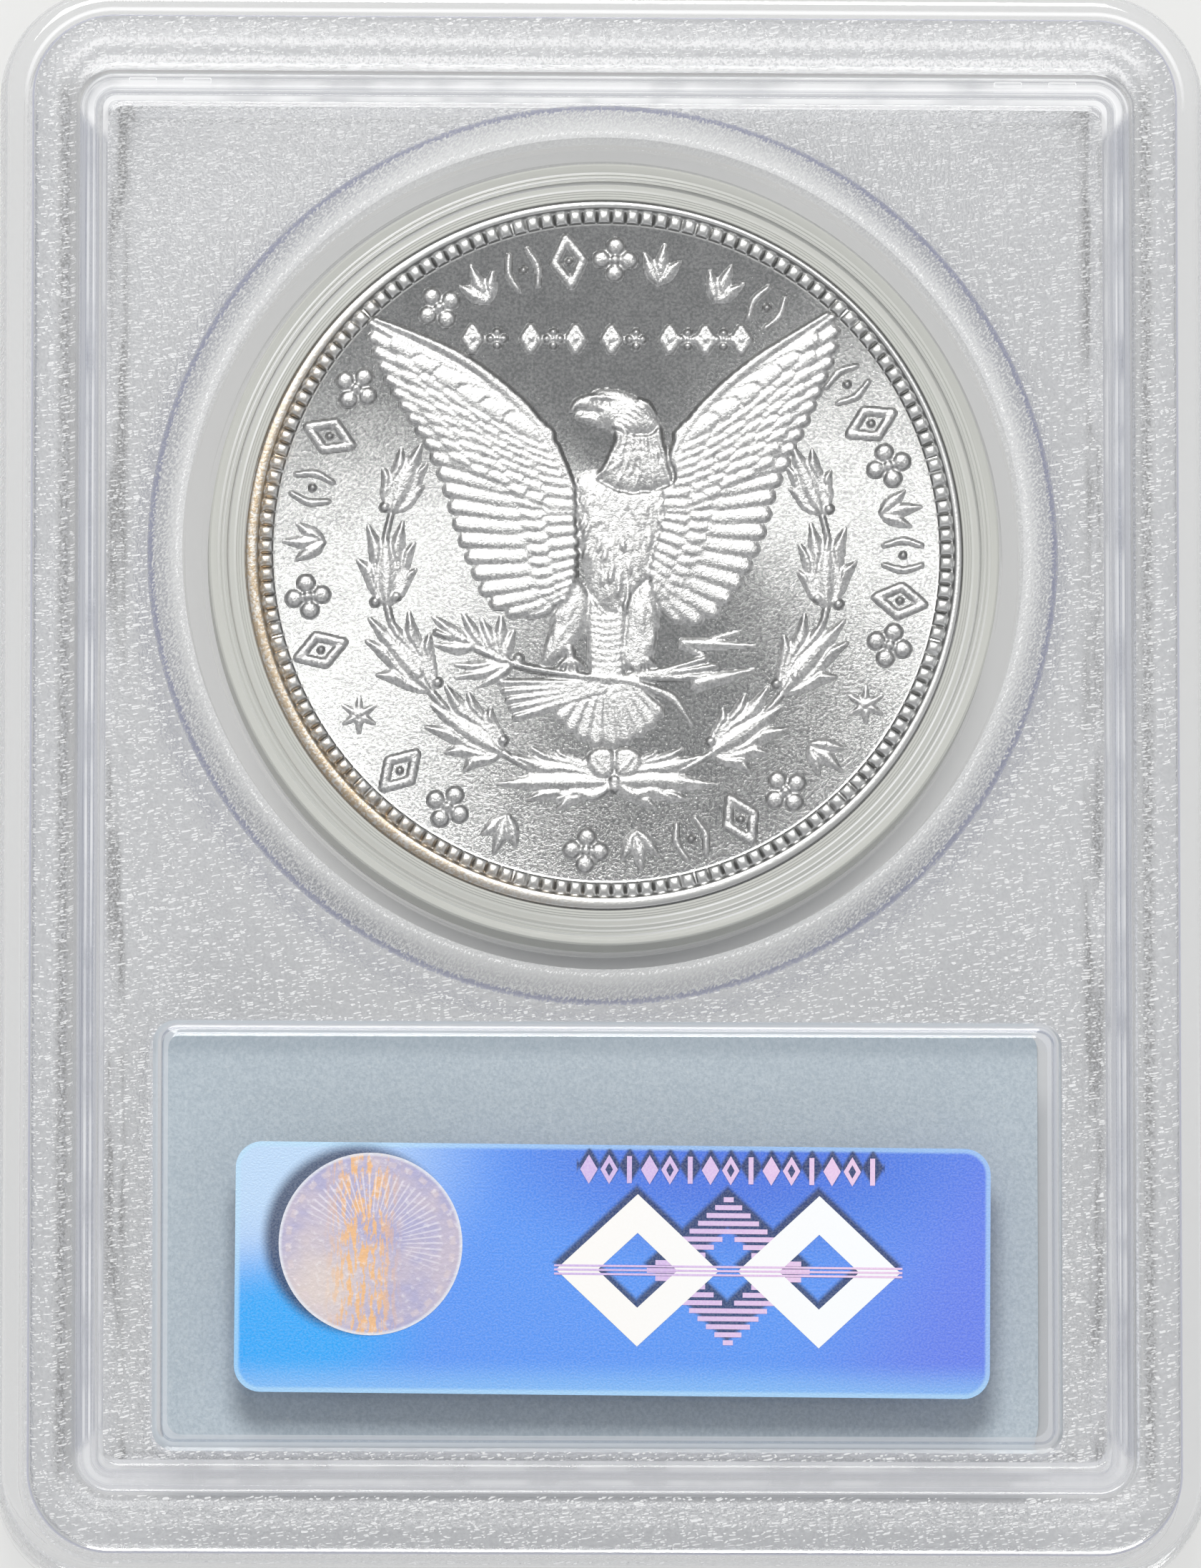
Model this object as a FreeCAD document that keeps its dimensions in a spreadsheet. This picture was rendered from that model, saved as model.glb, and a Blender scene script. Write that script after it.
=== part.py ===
import FreeCAD, Part
import os

import Sketcher

# A graded coin slab: two clear moulded shells, welded together around a coin in a ring and a paper label.
#
# Frame: millimetres, +Z up. The slab lies on its front face with its back up. The origin is at the middle
# of the bottom of its box, +Y points to the coin end and -Y to the label end.
#
# Each row of the sheet is a name, a value and what it measures. Heights are above the front rim, z = 0.
SIZES = [
    ("slab_width", 64.2, "outside width, X"),
    ("slab_length", 85.5, "outside length, Y"),
    ("slab_height", 8.0, "front rim to the top of the rear ridge, Z"),
    ("slab_corner", 6.0, "corner radius of the outline"),
    ("parting_height", 4.0, "plane where the side walls of the shells meet"),
    ("parting_chamfer", 0.15, "break along the outside of the parting line"),
    ("side_wall", 1.6, "thickness of the outer side wall"),
    ("rear_edge_round", 1.2, "rounding of the outer edge on the back"),
    ("front_edge_round", 0.5, "rounding of the outer edge on the front"),
    ("flange_width", 1.7, "flat ledge outside the rear ridge"),
    ("ridge_rise", 1.1, "height of the stacking ridge above the flange"),
    ("ridge_side", 2.45, "width of the ridge along the long sides"),
    ("ridge_end", 3.1, "width of the ridge along the short ends"),
    ("ridge_inner_corner", 1.9, "corner radius inside the ridge"),
    ("ridge_round", 0.35, "rounding of the top edges of the ridge"),
    ("step_height", 7.25, "height of the smooth step inside the ridge"),
    ("step_side", 1.45, "width of the step along the long sides"),
    ("step_end", 1.75, "width of the step along the short ends"),
    ("field_height", 7.0, "height of the frosted rear field"),
    ("field_corner", 0.9, "corner radius of the frosted field"),
    ("rear_inner_height", 5.6, "inner face of the rear plate"),
    ("channel_height", 6.2, "ceiling of the hollow under the ridge"),
    ("front_inner_height", 2.6, "inner face of the front plate"),
    ("front_recess", 1.2, "depth of the front face inside its rim"),
    ("stack_clearance", 0.2, "play of a rear ridge inside a front rim, each side"),
    ("rear_window_rise", 0.6, "height of the rear windows above the field"),
    ("front_window_rise", 0.2, "height of the front windows above the recess"),
    ("round_window_radius", 24.2, "round window at the foot of its bevel"),
    ("round_window_bevel", 1.86, "width of the bevel round the round window"),
    ("round_centre_y", 12.2, "middle of the round window"),
    ("label_window_width", 48.1, "label window at the foot of its bevel, X"),
    ("label_window_length", 22.9, "label window at the foot of its bevel, Y"),
    ("label_window_corner", 1.2, "corner radius of the label window"),
    ("label_window_bevel", 0.8, "width of the bevel round the label window"),
    ("label_centre_x", 0.25, "middle of the label window, X"),
    ("label_centre_y", -24.3, "middle of the label window, Y"),
    ("tongue_outer_gap", 0.15, "tongue to the inner outline of the ridge, each side"),
    ("tongue_side", 1.0, "thickness of the weld tongue along the long sides"),
    ("tongue_end", 1.2, "thickness of the weld tongue along the short ends"),
    ("tongue_corner", 1.7, "outer corner radius of the weld tongue"),
    ("groove_play", 0.1, "gap between the tongue and each wall of its groove"),
    ("groove_wall", 0.8, "thickness of the walls each side of the tongue"),
    ("notch_width", 1.55, "length of a weld notch, X"),
    ("notch_depth", 0.35, "depth of a weld notch below the top of the tongue"),
    ("notch_pitch", 2.9, "distance from one weld notch to the next"),
    ("notch_reach", 24.5, "middle of the outer weld notch, X"),
    ("rib_inner_radius", 21.25, "round rib that locates the ring, inside"),
    ("rib_wall", 0.9, "thickness of the round rib"),
    ("rib_gap", 0.1, "gap between ribs of the two shells"),
    ("pocket_width", 46.9, "label pocket, X"),
    ("pocket_length", 21.8, "label pocket, Y"),
    ("pocket_wall", 0.7, "thickness of the wall of the label pocket"),
    ("pocket_corner", 0.6, "corner radius of the label pocket"),
    ("ledge_width", 0.9, "ledge that the label rests on, each side"),
    ("ring_outer_radius", 21.0, "ring that grips the coin, outside"),
    ("ring_height", 2.9, "height of the ring"),
    ("ring_base", 2.65, "bottom of the ring"),
    ("ring_lip_radius", 19.95, "outside of the low lip next to the coin"),
    ("ring_lip_drop", 0.3, "height of the ring above the low lip, each face"),
    ("ring_grip_gap", 0.05, "play between the ring and the edge of the coin"),
    ("insert_shift_x", 0.1, "the ring and coin have settled this far off the window's middle, X"),
    ("insert_shift_y", 0.15, "the ring and coin have settled this far off the window's middle, Y"),
    ("coin_radius", 19.05, "coin"),
    ("coin_height", 2.4, "thickness of the coin over its rims"),
    ("coin_base", 2.9, "bottom of the coin"),
    ("coin_rim_width", 0.55, "width of the raised rim"),
    ("coin_bead_width", 0.85, "width of the beaded ring inside the rim"),
    ("coin_bead_drop", 0.05, "beaded ring below the rim"),
    ("coin_field_drop", 0.3, "field below the rim"),
    ("coin_edge_break", 0.12, "rounding of the coin's edge"),
    ("label_width", 45.9, "label, X"),
    ("label_length", 21.6, "label, Y"),
    ("label_corner", 0.4, "corner radius of the label"),
    ("label_thickness", 0.35, "thickness of the label card"),
    ("label_base", 4.55, "bottom of the label"),
    ("label_shift_x", -0.3, "label's middle from the window's middle, X"),
    ("sticker_width", 39.9, "sticker, X"),
    ("sticker_length", 13.3, "sticker, Y"),
    ("sticker_corner", 1.4, "corner radius of the sticker"),
    ("sticker_thickness", 0.1, "thickness of the sticker"),
    ("sticker_centre_x", 0.5, "middle of the sticker, X"),
    ("sticker_centre_y", -26.15, "middle of the sticker, Y"),
    ("sticker_turn", -0.4, "the sticker was put on slightly crooked, degrees"),
]

doc = FreeCAD.newDocument("graded_coin_slab")
sheet = doc.addObject("Spreadsheet::Sheet", "sizes")
for row, (alias, value, note) in enumerate(SIZES, start=1):
    sheet.set(f"A{row}", alias)
    sheet.set(f"B{row}", str(value))
    sheet.set(f"C{row}", note)
    sheet.setAlias(f"B{row}", alias)
doc.recompute()


# ---------------------------------------------------------------- named lengths, as expressions on the sheet

RIDGE_WIDTH = "sizes.slab_width - 2 * sizes.flange_width"
RIDGE_LENGTH = "sizes.slab_length - 2 * sizes.flange_width"
RIDGE_CORNER = "sizes.slab_corner - sizes.flange_width"
STEP_WIDTH = f"{RIDGE_WIDTH} - 2 * sizes.ridge_side"
STEP_LENGTH = f"{RIDGE_LENGTH} - 2 * sizes.ridge_end"
FIELD_WIDTH = f"{STEP_WIDTH} - 2 * sizes.step_side"
FIELD_LENGTH = f"{STEP_LENGTH} - 2 * sizes.step_end"
FLANGE_HEIGHT = "sizes.slab_height - sizes.ridge_rise"
CAVITY_WIDTH = "sizes.slab_width - 2 * sizes.side_wall"
CAVITY_LENGTH = "sizes.slab_length - 2 * sizes.side_wall"
CAVITY_CORNER = "sizes.slab_corner - sizes.side_wall"
RECESS_WIDTH = f"{RIDGE_WIDTH} + 2 * sizes.stack_clearance"
RECESS_LENGTH = f"{RIDGE_LENGTH} + 2 * sizes.stack_clearance"
RECESS_CORNER = f"{RIDGE_CORNER} + sizes.stack_clearance"
TONGUE_WIDTH = f"{STEP_WIDTH} - 2 * sizes.tongue_outer_gap"
TONGUE_LENGTH = f"{STEP_LENGTH} - 2 * sizes.tongue_outer_gap"
TONGUE_INNER_WIDTH = f"{TONGUE_WIDTH} - 2 * sizes.tongue_side"
TONGUE_INNER_LENGTH = f"{TONGUE_LENGTH} - 2 * sizes.tongue_end"
TONGUE_INNER_CORNER = "sizes.tongue_corner - sizes.tongue_side"
RIB_OUTER_RADIUS = "sizes.rib_inner_radius + sizes.rib_wall"
POCKET_OUTER_WIDTH = "sizes.pocket_width + 2 * sizes.pocket_wall"
POCKET_OUTER_LENGTH = "sizes.pocket_length + 2 * sizes.pocket_wall"
POCKET_OUTER_CORNER = "sizes.pocket_corner + sizes.pocket_wall"
LABEL_TOP = "sizes.label_base + sizes.label_thickness"


def number(expression):
    """What an expression on the sheet comes to now, as a plain number."""
    return float(sheet.evalExpression(expression))


def origin_plane(body, role):
    for feature in body.Origin.OriginFeatures:
        if feature.Role == role:
            return feature
    raise ValueError(role)


def new_body(label):
    body = doc.addObject("PartDesign::Body", label)
    body.Label = label
    return body


def new_sketch(body, name, height="0", centre_x="0", centre_y="0", role="XY_Plane"):
    """A sketch parallel to one of the body's own planes, with its own origin at the given centre."""
    sketch = body.newObject("Sketcher::SketchObject", name)
    sketch.AttachmentSupport = [(origin_plane(body, role), "")]
    sketch.MapMode = "FlatFace"
    sketch.setExpression("AttachmentOffset.Base.x", centre_x)
    sketch.setExpression("AttachmentOffset.Base.y", centre_y)
    sketch.setExpression("AttachmentOffset.Base.z", height)
    return sketch


def bind(sketch, constraint, name, expression):
    """Adds one dimension to the sketch and ties it to the sheet."""
    index = sketch.addConstraint(constraint)
    sketch.renameConstraint(index, name)
    sketch.setExpression(f"Constraints.{name}", expression)


def line(x1, y1, x2, y2):
    return Part.LineSegment(FreeCAD.Vector(x1, y1, 0), FreeCAD.Vector(x2, y2, 0))


def corner_arc(x, y, radius, quarter):
    circle = Part.Circle(FreeCAD.Vector(x, y, 0), FreeCAD.Vector(0, 0, 1), radius)
    return Part.ArcOfCircle(circle, quarter * 1.5707963267948966, (quarter + 1) * 1.5707963267948966)


def add_rounded_rectangle(sketch, name, width, length, corner):
    """A rectangle with round corners about the sketch's origin, its three sizes tied to the sheet."""
    x = number(width) / 2
    y = number(length) / 2
    r = number(corner)
    bottom, arc_se, right, arc_ne, top, arc_nw, left, arc_sw = sketch.addGeometry(
        [
            line(r - x, -y, x - r, -y),
            corner_arc(x - r, r - y, r, 3),
            line(x, r - y, x, y - r),
            corner_arc(x - r, y - r, r, 0),
            line(x - r, y, r - x, y),
            corner_arc(r - x, y - r, r, 1),
            line(-x, y - r, -x, r - y),
            corner_arc(r - x, r - y, r, 2),
        ],
        False,
    )
    loop = [bottom, arc_se, right, arc_ne, top, arc_nw, left, arc_sw]
    for piece, following in zip(loop, loop[1:] + loop[:1]):
        sketch.addConstraint(Sketcher.Constraint("Tangent", piece, 2, following, 1))
    for flat in (bottom, top):
        sketch.addConstraint(Sketcher.Constraint("Horizontal", flat))
    for upright in (left, right):
        sketch.addConstraint(Sketcher.Constraint("Vertical", upright))
    for arc in (arc_ne, arc_nw, arc_sw):
        sketch.addConstraint(Sketcher.Constraint("Equal", arc_se, arc))
    sketch.addConstraint(Sketcher.Constraint("Symmetric", arc_se, 3, arc_nw, 3, -1, 1))
    bind(sketch, Sketcher.Constraint("DistanceX", left, 1, right, 1, 2 * x), f"{name}_width", width)
    bind(sketch, Sketcher.Constraint("DistanceY", bottom, 1, top, 1, 2 * y), f"{name}_length", length)
    bind(sketch, Sketcher.Constraint("Radius", arc_se, r), f"{name}_corner", corner)


def add_circle(sketch, name, radius):
    """A circle about the sketch's origin, its radius tied to the sheet."""
    r = number(radius)
    circle = sketch.addGeometry(Part.Circle(FreeCAD.Vector(0, 0, 0), FreeCAD.Vector(0, 0, 1), r), False)
    sketch.addConstraint(Sketcher.Constraint("Coincident", circle, 3, -1, 1))
    bind(sketch, Sketcher.Constraint("Radius", circle, r), f"{name}_radius", radius)


def extrude(kind, body, sketch, name, length, up):
    """Pads or pockets a sketch by the given length, and checks that it changed the solid."""
    doc.recompute()
    before = body.Shape.Volume if body.Tip else 0.0
    feature = body.newObject(f"PartDesign::{kind}", name)
    feature.Profile = sketch
    feature.setExpression("Length", length)
    feature.Reversed = up if kind == "Pocket" else not up
    doc.recompute()
    change = body.Shape.Volume - before
    if change * (1 if kind == "Pad" else -1) <= 0:
        raise RuntimeError(f"{body.Label}.{name} changed the volume by {change}")
    return feature


def rounded_block(kind, body, name, size, height, length, up):
    """Pads or pockets a rounded rectangle centred on the slab."""
    sketch = new_sketch(body, f"{name}_sketch", height)
    add_rounded_rectangle(sketch, name, *size)
    return extrude(kind, body, sketch, name, length, up)


def rounded_wall(kind, body, name, outer, inner, height, length, up, centre_x="0", centre_y="0"):
    """Pads or pockets a wall between two rounded rectangles with one centre."""
    sketch = new_sketch(body, f"{name}_sketch", height, centre_x, centre_y)
    add_rounded_rectangle(sketch, f"{name}_outer", *outer)
    add_rounded_rectangle(sketch, f"{name}_inner", *inner)
    return extrude(kind, body, sketch, name, length, up)


def round_rib(body, height, length, up):
    """The round wall that locates the ring."""
    sketch = new_sketch(body, "round_rib_sketch", height, "0", "sizes.round_centre_y")
    add_circle(sketch, "rib_outer", RIB_OUTER_RADIUS)
    add_circle(sketch, "rib_inner", "sizes.rib_inner_radius")
    return extrude("Pad", body, sketch, "round_rib", length, up)


def raised_window(body, name, foot, top):
    """A window that stands proud of its face behind a bevel, lofted from its foot to its top."""
    doc.recompute()
    before = body.Shape.Volume
    loft = body.newObject("PartDesign::AdditiveLoft", name)
    loft.Profile = foot
    loft.Sections = [top]
    loft.Ruled = True
    doc.recompute()
    if body.Shape.Volume <= before:
        raise RuntimeError(f"{body.Label}.{name} added nothing")
    return loft


def raised_windows(body, foot_height, top_height):
    """The round window over the coin and the label window."""
    sketches = []
    for name, height, inset in (("foot", foot_height, "0"), ("top", top_height, "1")):
        sketch = new_sketch(body, f"round_window_{name}", height, "0", "sizes.round_centre_y")
        add_circle(sketch, name, f"sizes.round_window_radius - {inset} * sizes.round_window_bevel")
        sketches.append(sketch)
    raised_window(body, "round_window", *sketches)
    sketches = []
    for name, height, inset in (("foot", foot_height, "0"), ("top", top_height, "2")):
        sketch = new_sketch(
            body, f"label_window_{name}", height, "sizes.label_centre_x", "sizes.label_centre_y"
        )
        add_rounded_rectangle(
            sketch,
            name,
            f"sizes.label_window_width - {inset} * sizes.label_window_bevel",
            f"sizes.label_window_length - {inset} * sizes.label_window_bevel",
            f"sizes.label_window_corner - {inset} * sizes.label_window_bevel / 4",
        )
        sketches.append(sketch)
    raised_window(body, "label_window", *sketches)


def outline_edges(body, height, width, length):
    """The names of the edges at one height that lie on a rounded rectangle of the given size."""
    level = number(height)
    x = number(width) / 2
    y = number(length) / 2
    names = []
    for index, edge in enumerate(body.Shape.Edges, start=1):
        box = edge.BoundBox
        if box.ZLength > 1e-6 or abs(box.ZMax - level) > 1e-6:
            continue
        reach_x = max(abs(box.XMin), abs(box.XMax))
        reach_y = max(abs(box.YMin), abs(box.YMax))
        on_side = abs(reach_x - x) < 1e-4 and reach_y < y + 1e-4
        on_end = abs(reach_y - y) < 1e-4 and reach_x < x + 1e-4
        if on_side or on_end:
            names.append(f"Edge{index}")
    if len(names) != 8:
        raise RuntimeError(f"{body.Label}: {len(names)} edges at {height}")
    return names


def dress_edges(kind, body, name, edges, size):
    """Rounds or breaks the named edges of the body's last feature."""
    last = body.Tip
    feature = body.newObject(f"PartDesign::{kind}", name)
    feature.Base = (last, edges)
    feature.setExpression("Radius" if kind == "Fillet" else "Size", size)
    doc.recompute()
    return feature


# ---------------------------------------------------------------- rear shell, the upper half


def make_rear_shell():
    """The shell on the back: flange, stacking ridge, smooth step, frosted field, windows, groove and ribs."""
    body = new_body("rear_shell")
    outline = ("sizes.slab_width", "sizes.slab_length", "sizes.slab_corner")
    ridge = (RIDGE_WIDTH, RIDGE_LENGTH, RIDGE_CORNER)
    step = (STEP_WIDTH, STEP_LENGTH, "sizes.ridge_inner_corner")
    field = (FIELD_WIDTH, FIELD_LENGTH, "sizes.field_corner")
    cavity = (CAVITY_WIDTH, CAVITY_LENGTH, CAVITY_CORNER)
    rounded_block(
        "Pad", body, "flange", outline, "sizes.parting_height", f"{FLANGE_HEIGHT} - sizes.parting_height", True
    )
    rounded_block("Pad", body, "ridge", ridge, FLANGE_HEIGHT, "sizes.ridge_rise", True)
    rounded_block(
        "Pocket", body, "step", step, "sizes.slab_height", "sizes.slab_height - sizes.step_height", False
    )
    rounded_block(
        "Pocket", body, "field", field, "sizes.step_height", "sizes.step_height - sizes.field_height", False
    )
    raised_windows(body, "sizes.field_height", "sizes.field_height + sizes.rear_window_rise")

    plate_drop = "sizes.rear_inner_height - sizes.parting_height"
    rounded_block("Pocket", body, "cavity", cavity, "sizes.parting_height", plate_drop, True)
    groove_outer = (
        f"{TONGUE_WIDTH} + 2 * sizes.groove_play",
        f"{TONGUE_LENGTH} + 2 * sizes.groove_play",
        "sizes.tongue_corner + sizes.groove_play",
    )
    groove_outer_wall = (
        f"{groove_outer[0]} + 2 * sizes.groove_wall",
        f"{groove_outer[1]} + 2 * sizes.groove_wall",
        f"{groove_outer[2]} + sizes.groove_wall",
    )
    groove_inner = (
        f"{TONGUE_INNER_WIDTH} - 2 * sizes.groove_play",
        f"{TONGUE_INNER_LENGTH} - 2 * sizes.groove_play",
        f"{TONGUE_INNER_CORNER} - sizes.groove_play",
    )
    groove_inner_wall = (
        f"{groove_inner[0]} - 2 * sizes.groove_wall",
        f"{groove_inner[1]} - 2 * sizes.groove_wall",
        "sizes.groove_play",
    )
    rounded_wall(
        "Pocket",
        body,
        "channel",
        cavity,
        groove_outer_wall,
        "sizes.rear_inner_height",
        "sizes.channel_height - sizes.rear_inner_height",
        True,
    )
    rounded_wall(
        "Pad", body, "groove_outer_wall", groove_outer_wall, groove_outer, "sizes.rear_inner_height", plate_drop, False
    )
    rounded_wall(
        "Pad", body, "groove_inner_wall", groove_inner, groove_inner_wall, "sizes.rear_inner_height", plate_drop, False
    )
    round_rib(body, "sizes.rear_inner_height", plate_drop, False)
    rounded_wall(
        "Pad",
        body,
        "label_pocket",
        (POCKET_OUTER_WIDTH, POCKET_OUTER_LENGTH, POCKET_OUTER_CORNER),
        ("sizes.pocket_width", "sizes.pocket_length", "sizes.pocket_corner"),
        "sizes.rear_inner_height",
        f"sizes.rear_inner_height - ({LABEL_TOP}) - sizes.rib_gap",
        False,
        "sizes.label_centre_x",
        "sizes.label_centre_y",
    )

    outer_edge = outline_edges(body, FLANGE_HEIGHT, "sizes.slab_width", "sizes.slab_length")
    dress_edges("Fillet", body, "edge_round", outer_edge, "sizes.rear_edge_round")
    ridge_edges = outline_edges(body, "sizes.slab_height", RIDGE_WIDTH, RIDGE_LENGTH)
    ridge_edges += outline_edges(body, "sizes.slab_height", STEP_WIDTH, STEP_LENGTH)
    dress_edges("Fillet", body, "ridge_rounds", ridge_edges, "sizes.ridge_round")
    parting_edge = outline_edges(body, "sizes.parting_height", "sizes.slab_width", "sizes.slab_length")
    dress_edges("Chamfer", body, "parting_break", parting_edge, "sizes.parting_chamfer")
    return body


# ---------------------------------------------------------------- front shell, the lower half


def make_weld_notches(body):
    """Short gaps in the top of the weld tongue, two at each end of both short sides."""
    sketch = new_sketch(
        body,
        "weld_notch_sketch",
        "sizes.rear_inner_height",
        "sizes.notch_reach",
        f"({TONGUE_LENGTH} - sizes.tongue_end) / 2",
    )
    add_rounded_rectangle(
        sketch, "notch", "sizes.notch_width", "sizes.tongue_end * 1.5", "sizes.groove_play"
    )
    notch = extrude("Pocket", body, sketch, "weld_notch", "sizes.notch_depth", False)
    before = body.Shape.Volume
    row = body.newObject("PartDesign::MultiTransform", "weld_notches")
    row.Originals = [notch]
    pair = body.newObject("PartDesign::LinearPattern", "weld_notch_pair")
    pair.Direction = (sketch, ["H_Axis"])
    pair.Reversed = True
    pair.Occurrences = 2
    pair.setExpression("Length", "sizes.notch_pitch")
    across = body.newObject("PartDesign::Mirrored", "weld_notch_sides")
    across.MirrorPlane = (origin_plane(body, "YZ_Plane"), [""])
    along = body.newObject("PartDesign::Mirrored", "weld_notch_ends")
    along.MirrorPlane = (origin_plane(body, "XZ_Plane"), [""])
    row.Transformations = [pair, across, along]
    body.Tip = row
    doc.recompute()
    if body.Shape.Volume >= before:
        raise RuntimeError("the weld notches cut nothing")


def make_front_shell():
    """The shell on the front: rim, recess, windows, weld tongue, round rib and label pocket."""
    body = new_body("front_shell")
    outline = ("sizes.slab_width", "sizes.slab_length", "sizes.slab_corner")
    cavity = (CAVITY_WIDTH, CAVITY_LENGTH, CAVITY_CORNER)
    recess = (RECESS_WIDTH, RECESS_LENGTH, RECESS_CORNER)
    rounded_block("Pad", body, "rim", outline, "0", "sizes.parting_height", True)
    rounded_block("Pocket", body, "recess", recess, "0", "sizes.front_recess", True)
    raised_windows(body, "sizes.front_recess", "sizes.front_recess - sizes.front_window_rise")
    rounded_block(
        "Pocket",
        body,
        "cavity",
        cavity,
        "sizes.parting_height",
        "sizes.parting_height - sizes.front_inner_height",
        False,
    )
    rounded_wall(
        "Pad",
        body,
        "tongue",
        (TONGUE_WIDTH, TONGUE_LENGTH, "sizes.tongue_corner"),
        (TONGUE_INNER_WIDTH, TONGUE_INNER_LENGTH, TONGUE_INNER_CORNER),
        "sizes.front_inner_height",
        "sizes.rear_inner_height - sizes.front_inner_height",
        True,
    )
    round_rib(
        body,
        "sizes.front_inner_height",
        "sizes.parting_height - sizes.rib_gap - sizes.front_inner_height",
        True,
    )
    pocket = ("sizes.pocket_width", "sizes.pocket_length", "sizes.pocket_corner")
    rounded_wall(
        "Pad",
        body,
        "label_pocket",
        (POCKET_OUTER_WIDTH, POCKET_OUTER_LENGTH, POCKET_OUTER_CORNER),
        pocket,
        "sizes.front_inner_height",
        f"{LABEL_TOP} - sizes.front_inner_height",
        True,
        "sizes.label_centre_x",
        "sizes.label_centre_y",
    )
    rounded_wall(
        "Pad",
        body,
        "label_ledge",
        pocket,
        (
            "sizes.pocket_width - 2 * sizes.ledge_width",
            "sizes.pocket_length - 2 * sizes.ledge_width",
            "sizes.pocket_corner",
        ),
        "sizes.front_inner_height",
        "sizes.label_base - sizes.front_inner_height",
        True,
        "sizes.label_centre_x",
        "sizes.label_centre_y",
    )
    make_weld_notches(body)
    outer_edge = outline_edges(body, "0", "sizes.slab_width", "sizes.slab_length")
    dress_edges("Fillet", body, "edge_round", outer_edge, "sizes.front_edge_round")
    parting_edge = outline_edges(body, "sizes.parting_height", "sizes.slab_width", "sizes.slab_length")
    dress_edges("Chamfer", body, "parting_break", parting_edge, "sizes.parting_chamfer")
    return body


# ---------------------------------------------------------------- turned pieces: the ring and the coin


def revolve_profile(body, name, points):
    """Turns a closed outline of (radius, height) expressions about the piece's own upright axis."""
    sketch = new_sketch(body, f"{name}_sketch", role="XZ_Plane")
    places = [(number(radius), number(height)) for radius, height in points]
    following = places[1:] + places[:1]
    ids = [
        sketch.addGeometry(line(x1, y1, x2, y2), False) for (x1, y1), (x2, y2) in zip(places, following)
    ]
    for index, piece in enumerate(ids):
        sketch.addConstraint(Sketcher.Constraint("Coincident", piece, 2, ids[(index + 1) % len(ids)], 1))
    for index, (piece, (radius, height)) in enumerate(zip(ids, points)):
        x, y = places[index]
        if x == 0:
            sketch.addConstraint(Sketcher.Constraint("PointOnObject", piece, 1, -2))
        else:
            across = Sketcher.Constraint("DistanceX", -1, 1, piece, 1, x)
            bind(sketch, across, f"radius_{index}", radius)
        bind(sketch, Sketcher.Constraint("DistanceY", -1, 1, piece, 1, y), f"height_{index}", height)
    doc.recompute()
    revolution = body.newObject("PartDesign::Revolution", name)
    revolution.Profile = sketch
    revolution.ReferenceAxis = (sketch, ["V_Axis"])
    revolution.Angle = 360
    doc.recompute()
    return revolution


def place_insert(body):
    """Puts a turned piece on the axis where the ring and the coin have settled."""
    body.setExpression("Placement.Base.x", "sizes.insert_shift_x")
    body.setExpression("Placement.Base.y", "sizes.round_centre_y + sizes.insert_shift_y")
    doc.recompute()


def make_coin_gasket():
    """The clear ring that grips the coin: full height outside, with a low lip next to the coin."""
    body = new_body("coin_gasket")
    inner = "sizes.coin_radius + sizes.ring_grip_gap"
    top = "sizes.ring_base + sizes.ring_height"
    profile = [
        (inner, "sizes.ring_base + sizes.ring_lip_drop"),
        ("sizes.ring_lip_radius", "sizes.ring_base + sizes.ring_lip_drop"),
        ("sizes.ring_lip_radius", "sizes.ring_base"),
        ("sizes.ring_outer_radius", "sizes.ring_base"),
        ("sizes.ring_outer_radius", top),
        ("sizes.ring_lip_radius", top),
        ("sizes.ring_lip_radius", f"{top} - sizes.ring_lip_drop"),
        (inner, f"{top} - sizes.ring_lip_drop"),
    ]
    revolve_profile(body, "ring", profile)
    place_insert(body)
    return body


def make_coin():
    """The coin: raised rim, beaded ring inside it and a lower field, alike on both faces."""
    body = new_body("coin")
    top = "sizes.coin_base + sizes.coin_height"
    bead_outer = "sizes.coin_radius - sizes.coin_rim_width"
    bead_inner = f"{bead_outer} - sizes.coin_bead_width"
    profile = [
        ("0", "sizes.coin_base + sizes.coin_field_drop"),
        (bead_inner, "sizes.coin_base + sizes.coin_field_drop"),
        (bead_inner, "sizes.coin_base + sizes.coin_bead_drop"),
        (bead_outer, "sizes.coin_base + sizes.coin_bead_drop"),
        (bead_outer, "sizes.coin_base"),
        ("sizes.coin_radius - sizes.coin_edge_break", "sizes.coin_base"),
        ("sizes.coin_radius", "sizes.coin_base + sizes.coin_edge_break"),
        ("sizes.coin_radius", f"{top} - sizes.coin_edge_break"),
        ("sizes.coin_radius - sizes.coin_edge_break", top),
        (bead_outer, top),
        (bead_outer, f"{top} - sizes.coin_bead_drop"),
        (bead_inner, f"{top} - sizes.coin_bead_drop"),
        (bead_inner, f"{top} - sizes.coin_field_drop"),
        ("0", f"{top} - sizes.coin_field_drop"),
    ]
    revolve_profile(body, "blank", profile)
    place_insert(body)
    return body


# ---------------------------------------------------------------- flat pieces: the label and the sticker


def make_label_insert():
    """The paper card, loose in its pocket."""
    body = new_body("label_insert")
    size = ("sizes.label_width", "sizes.label_length", "sizes.label_corner")
    rounded_block("Pad", body, "card", size, "0", "sizes.label_thickness", True)
    body.setExpression("Placement.Base.x", "sizes.label_centre_x + sizes.label_shift_x")
    body.setExpression("Placement.Base.y", "sizes.label_centre_y")
    body.setExpression("Placement.Base.z", "sizes.label_base")
    doc.recompute()
    return body


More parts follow.
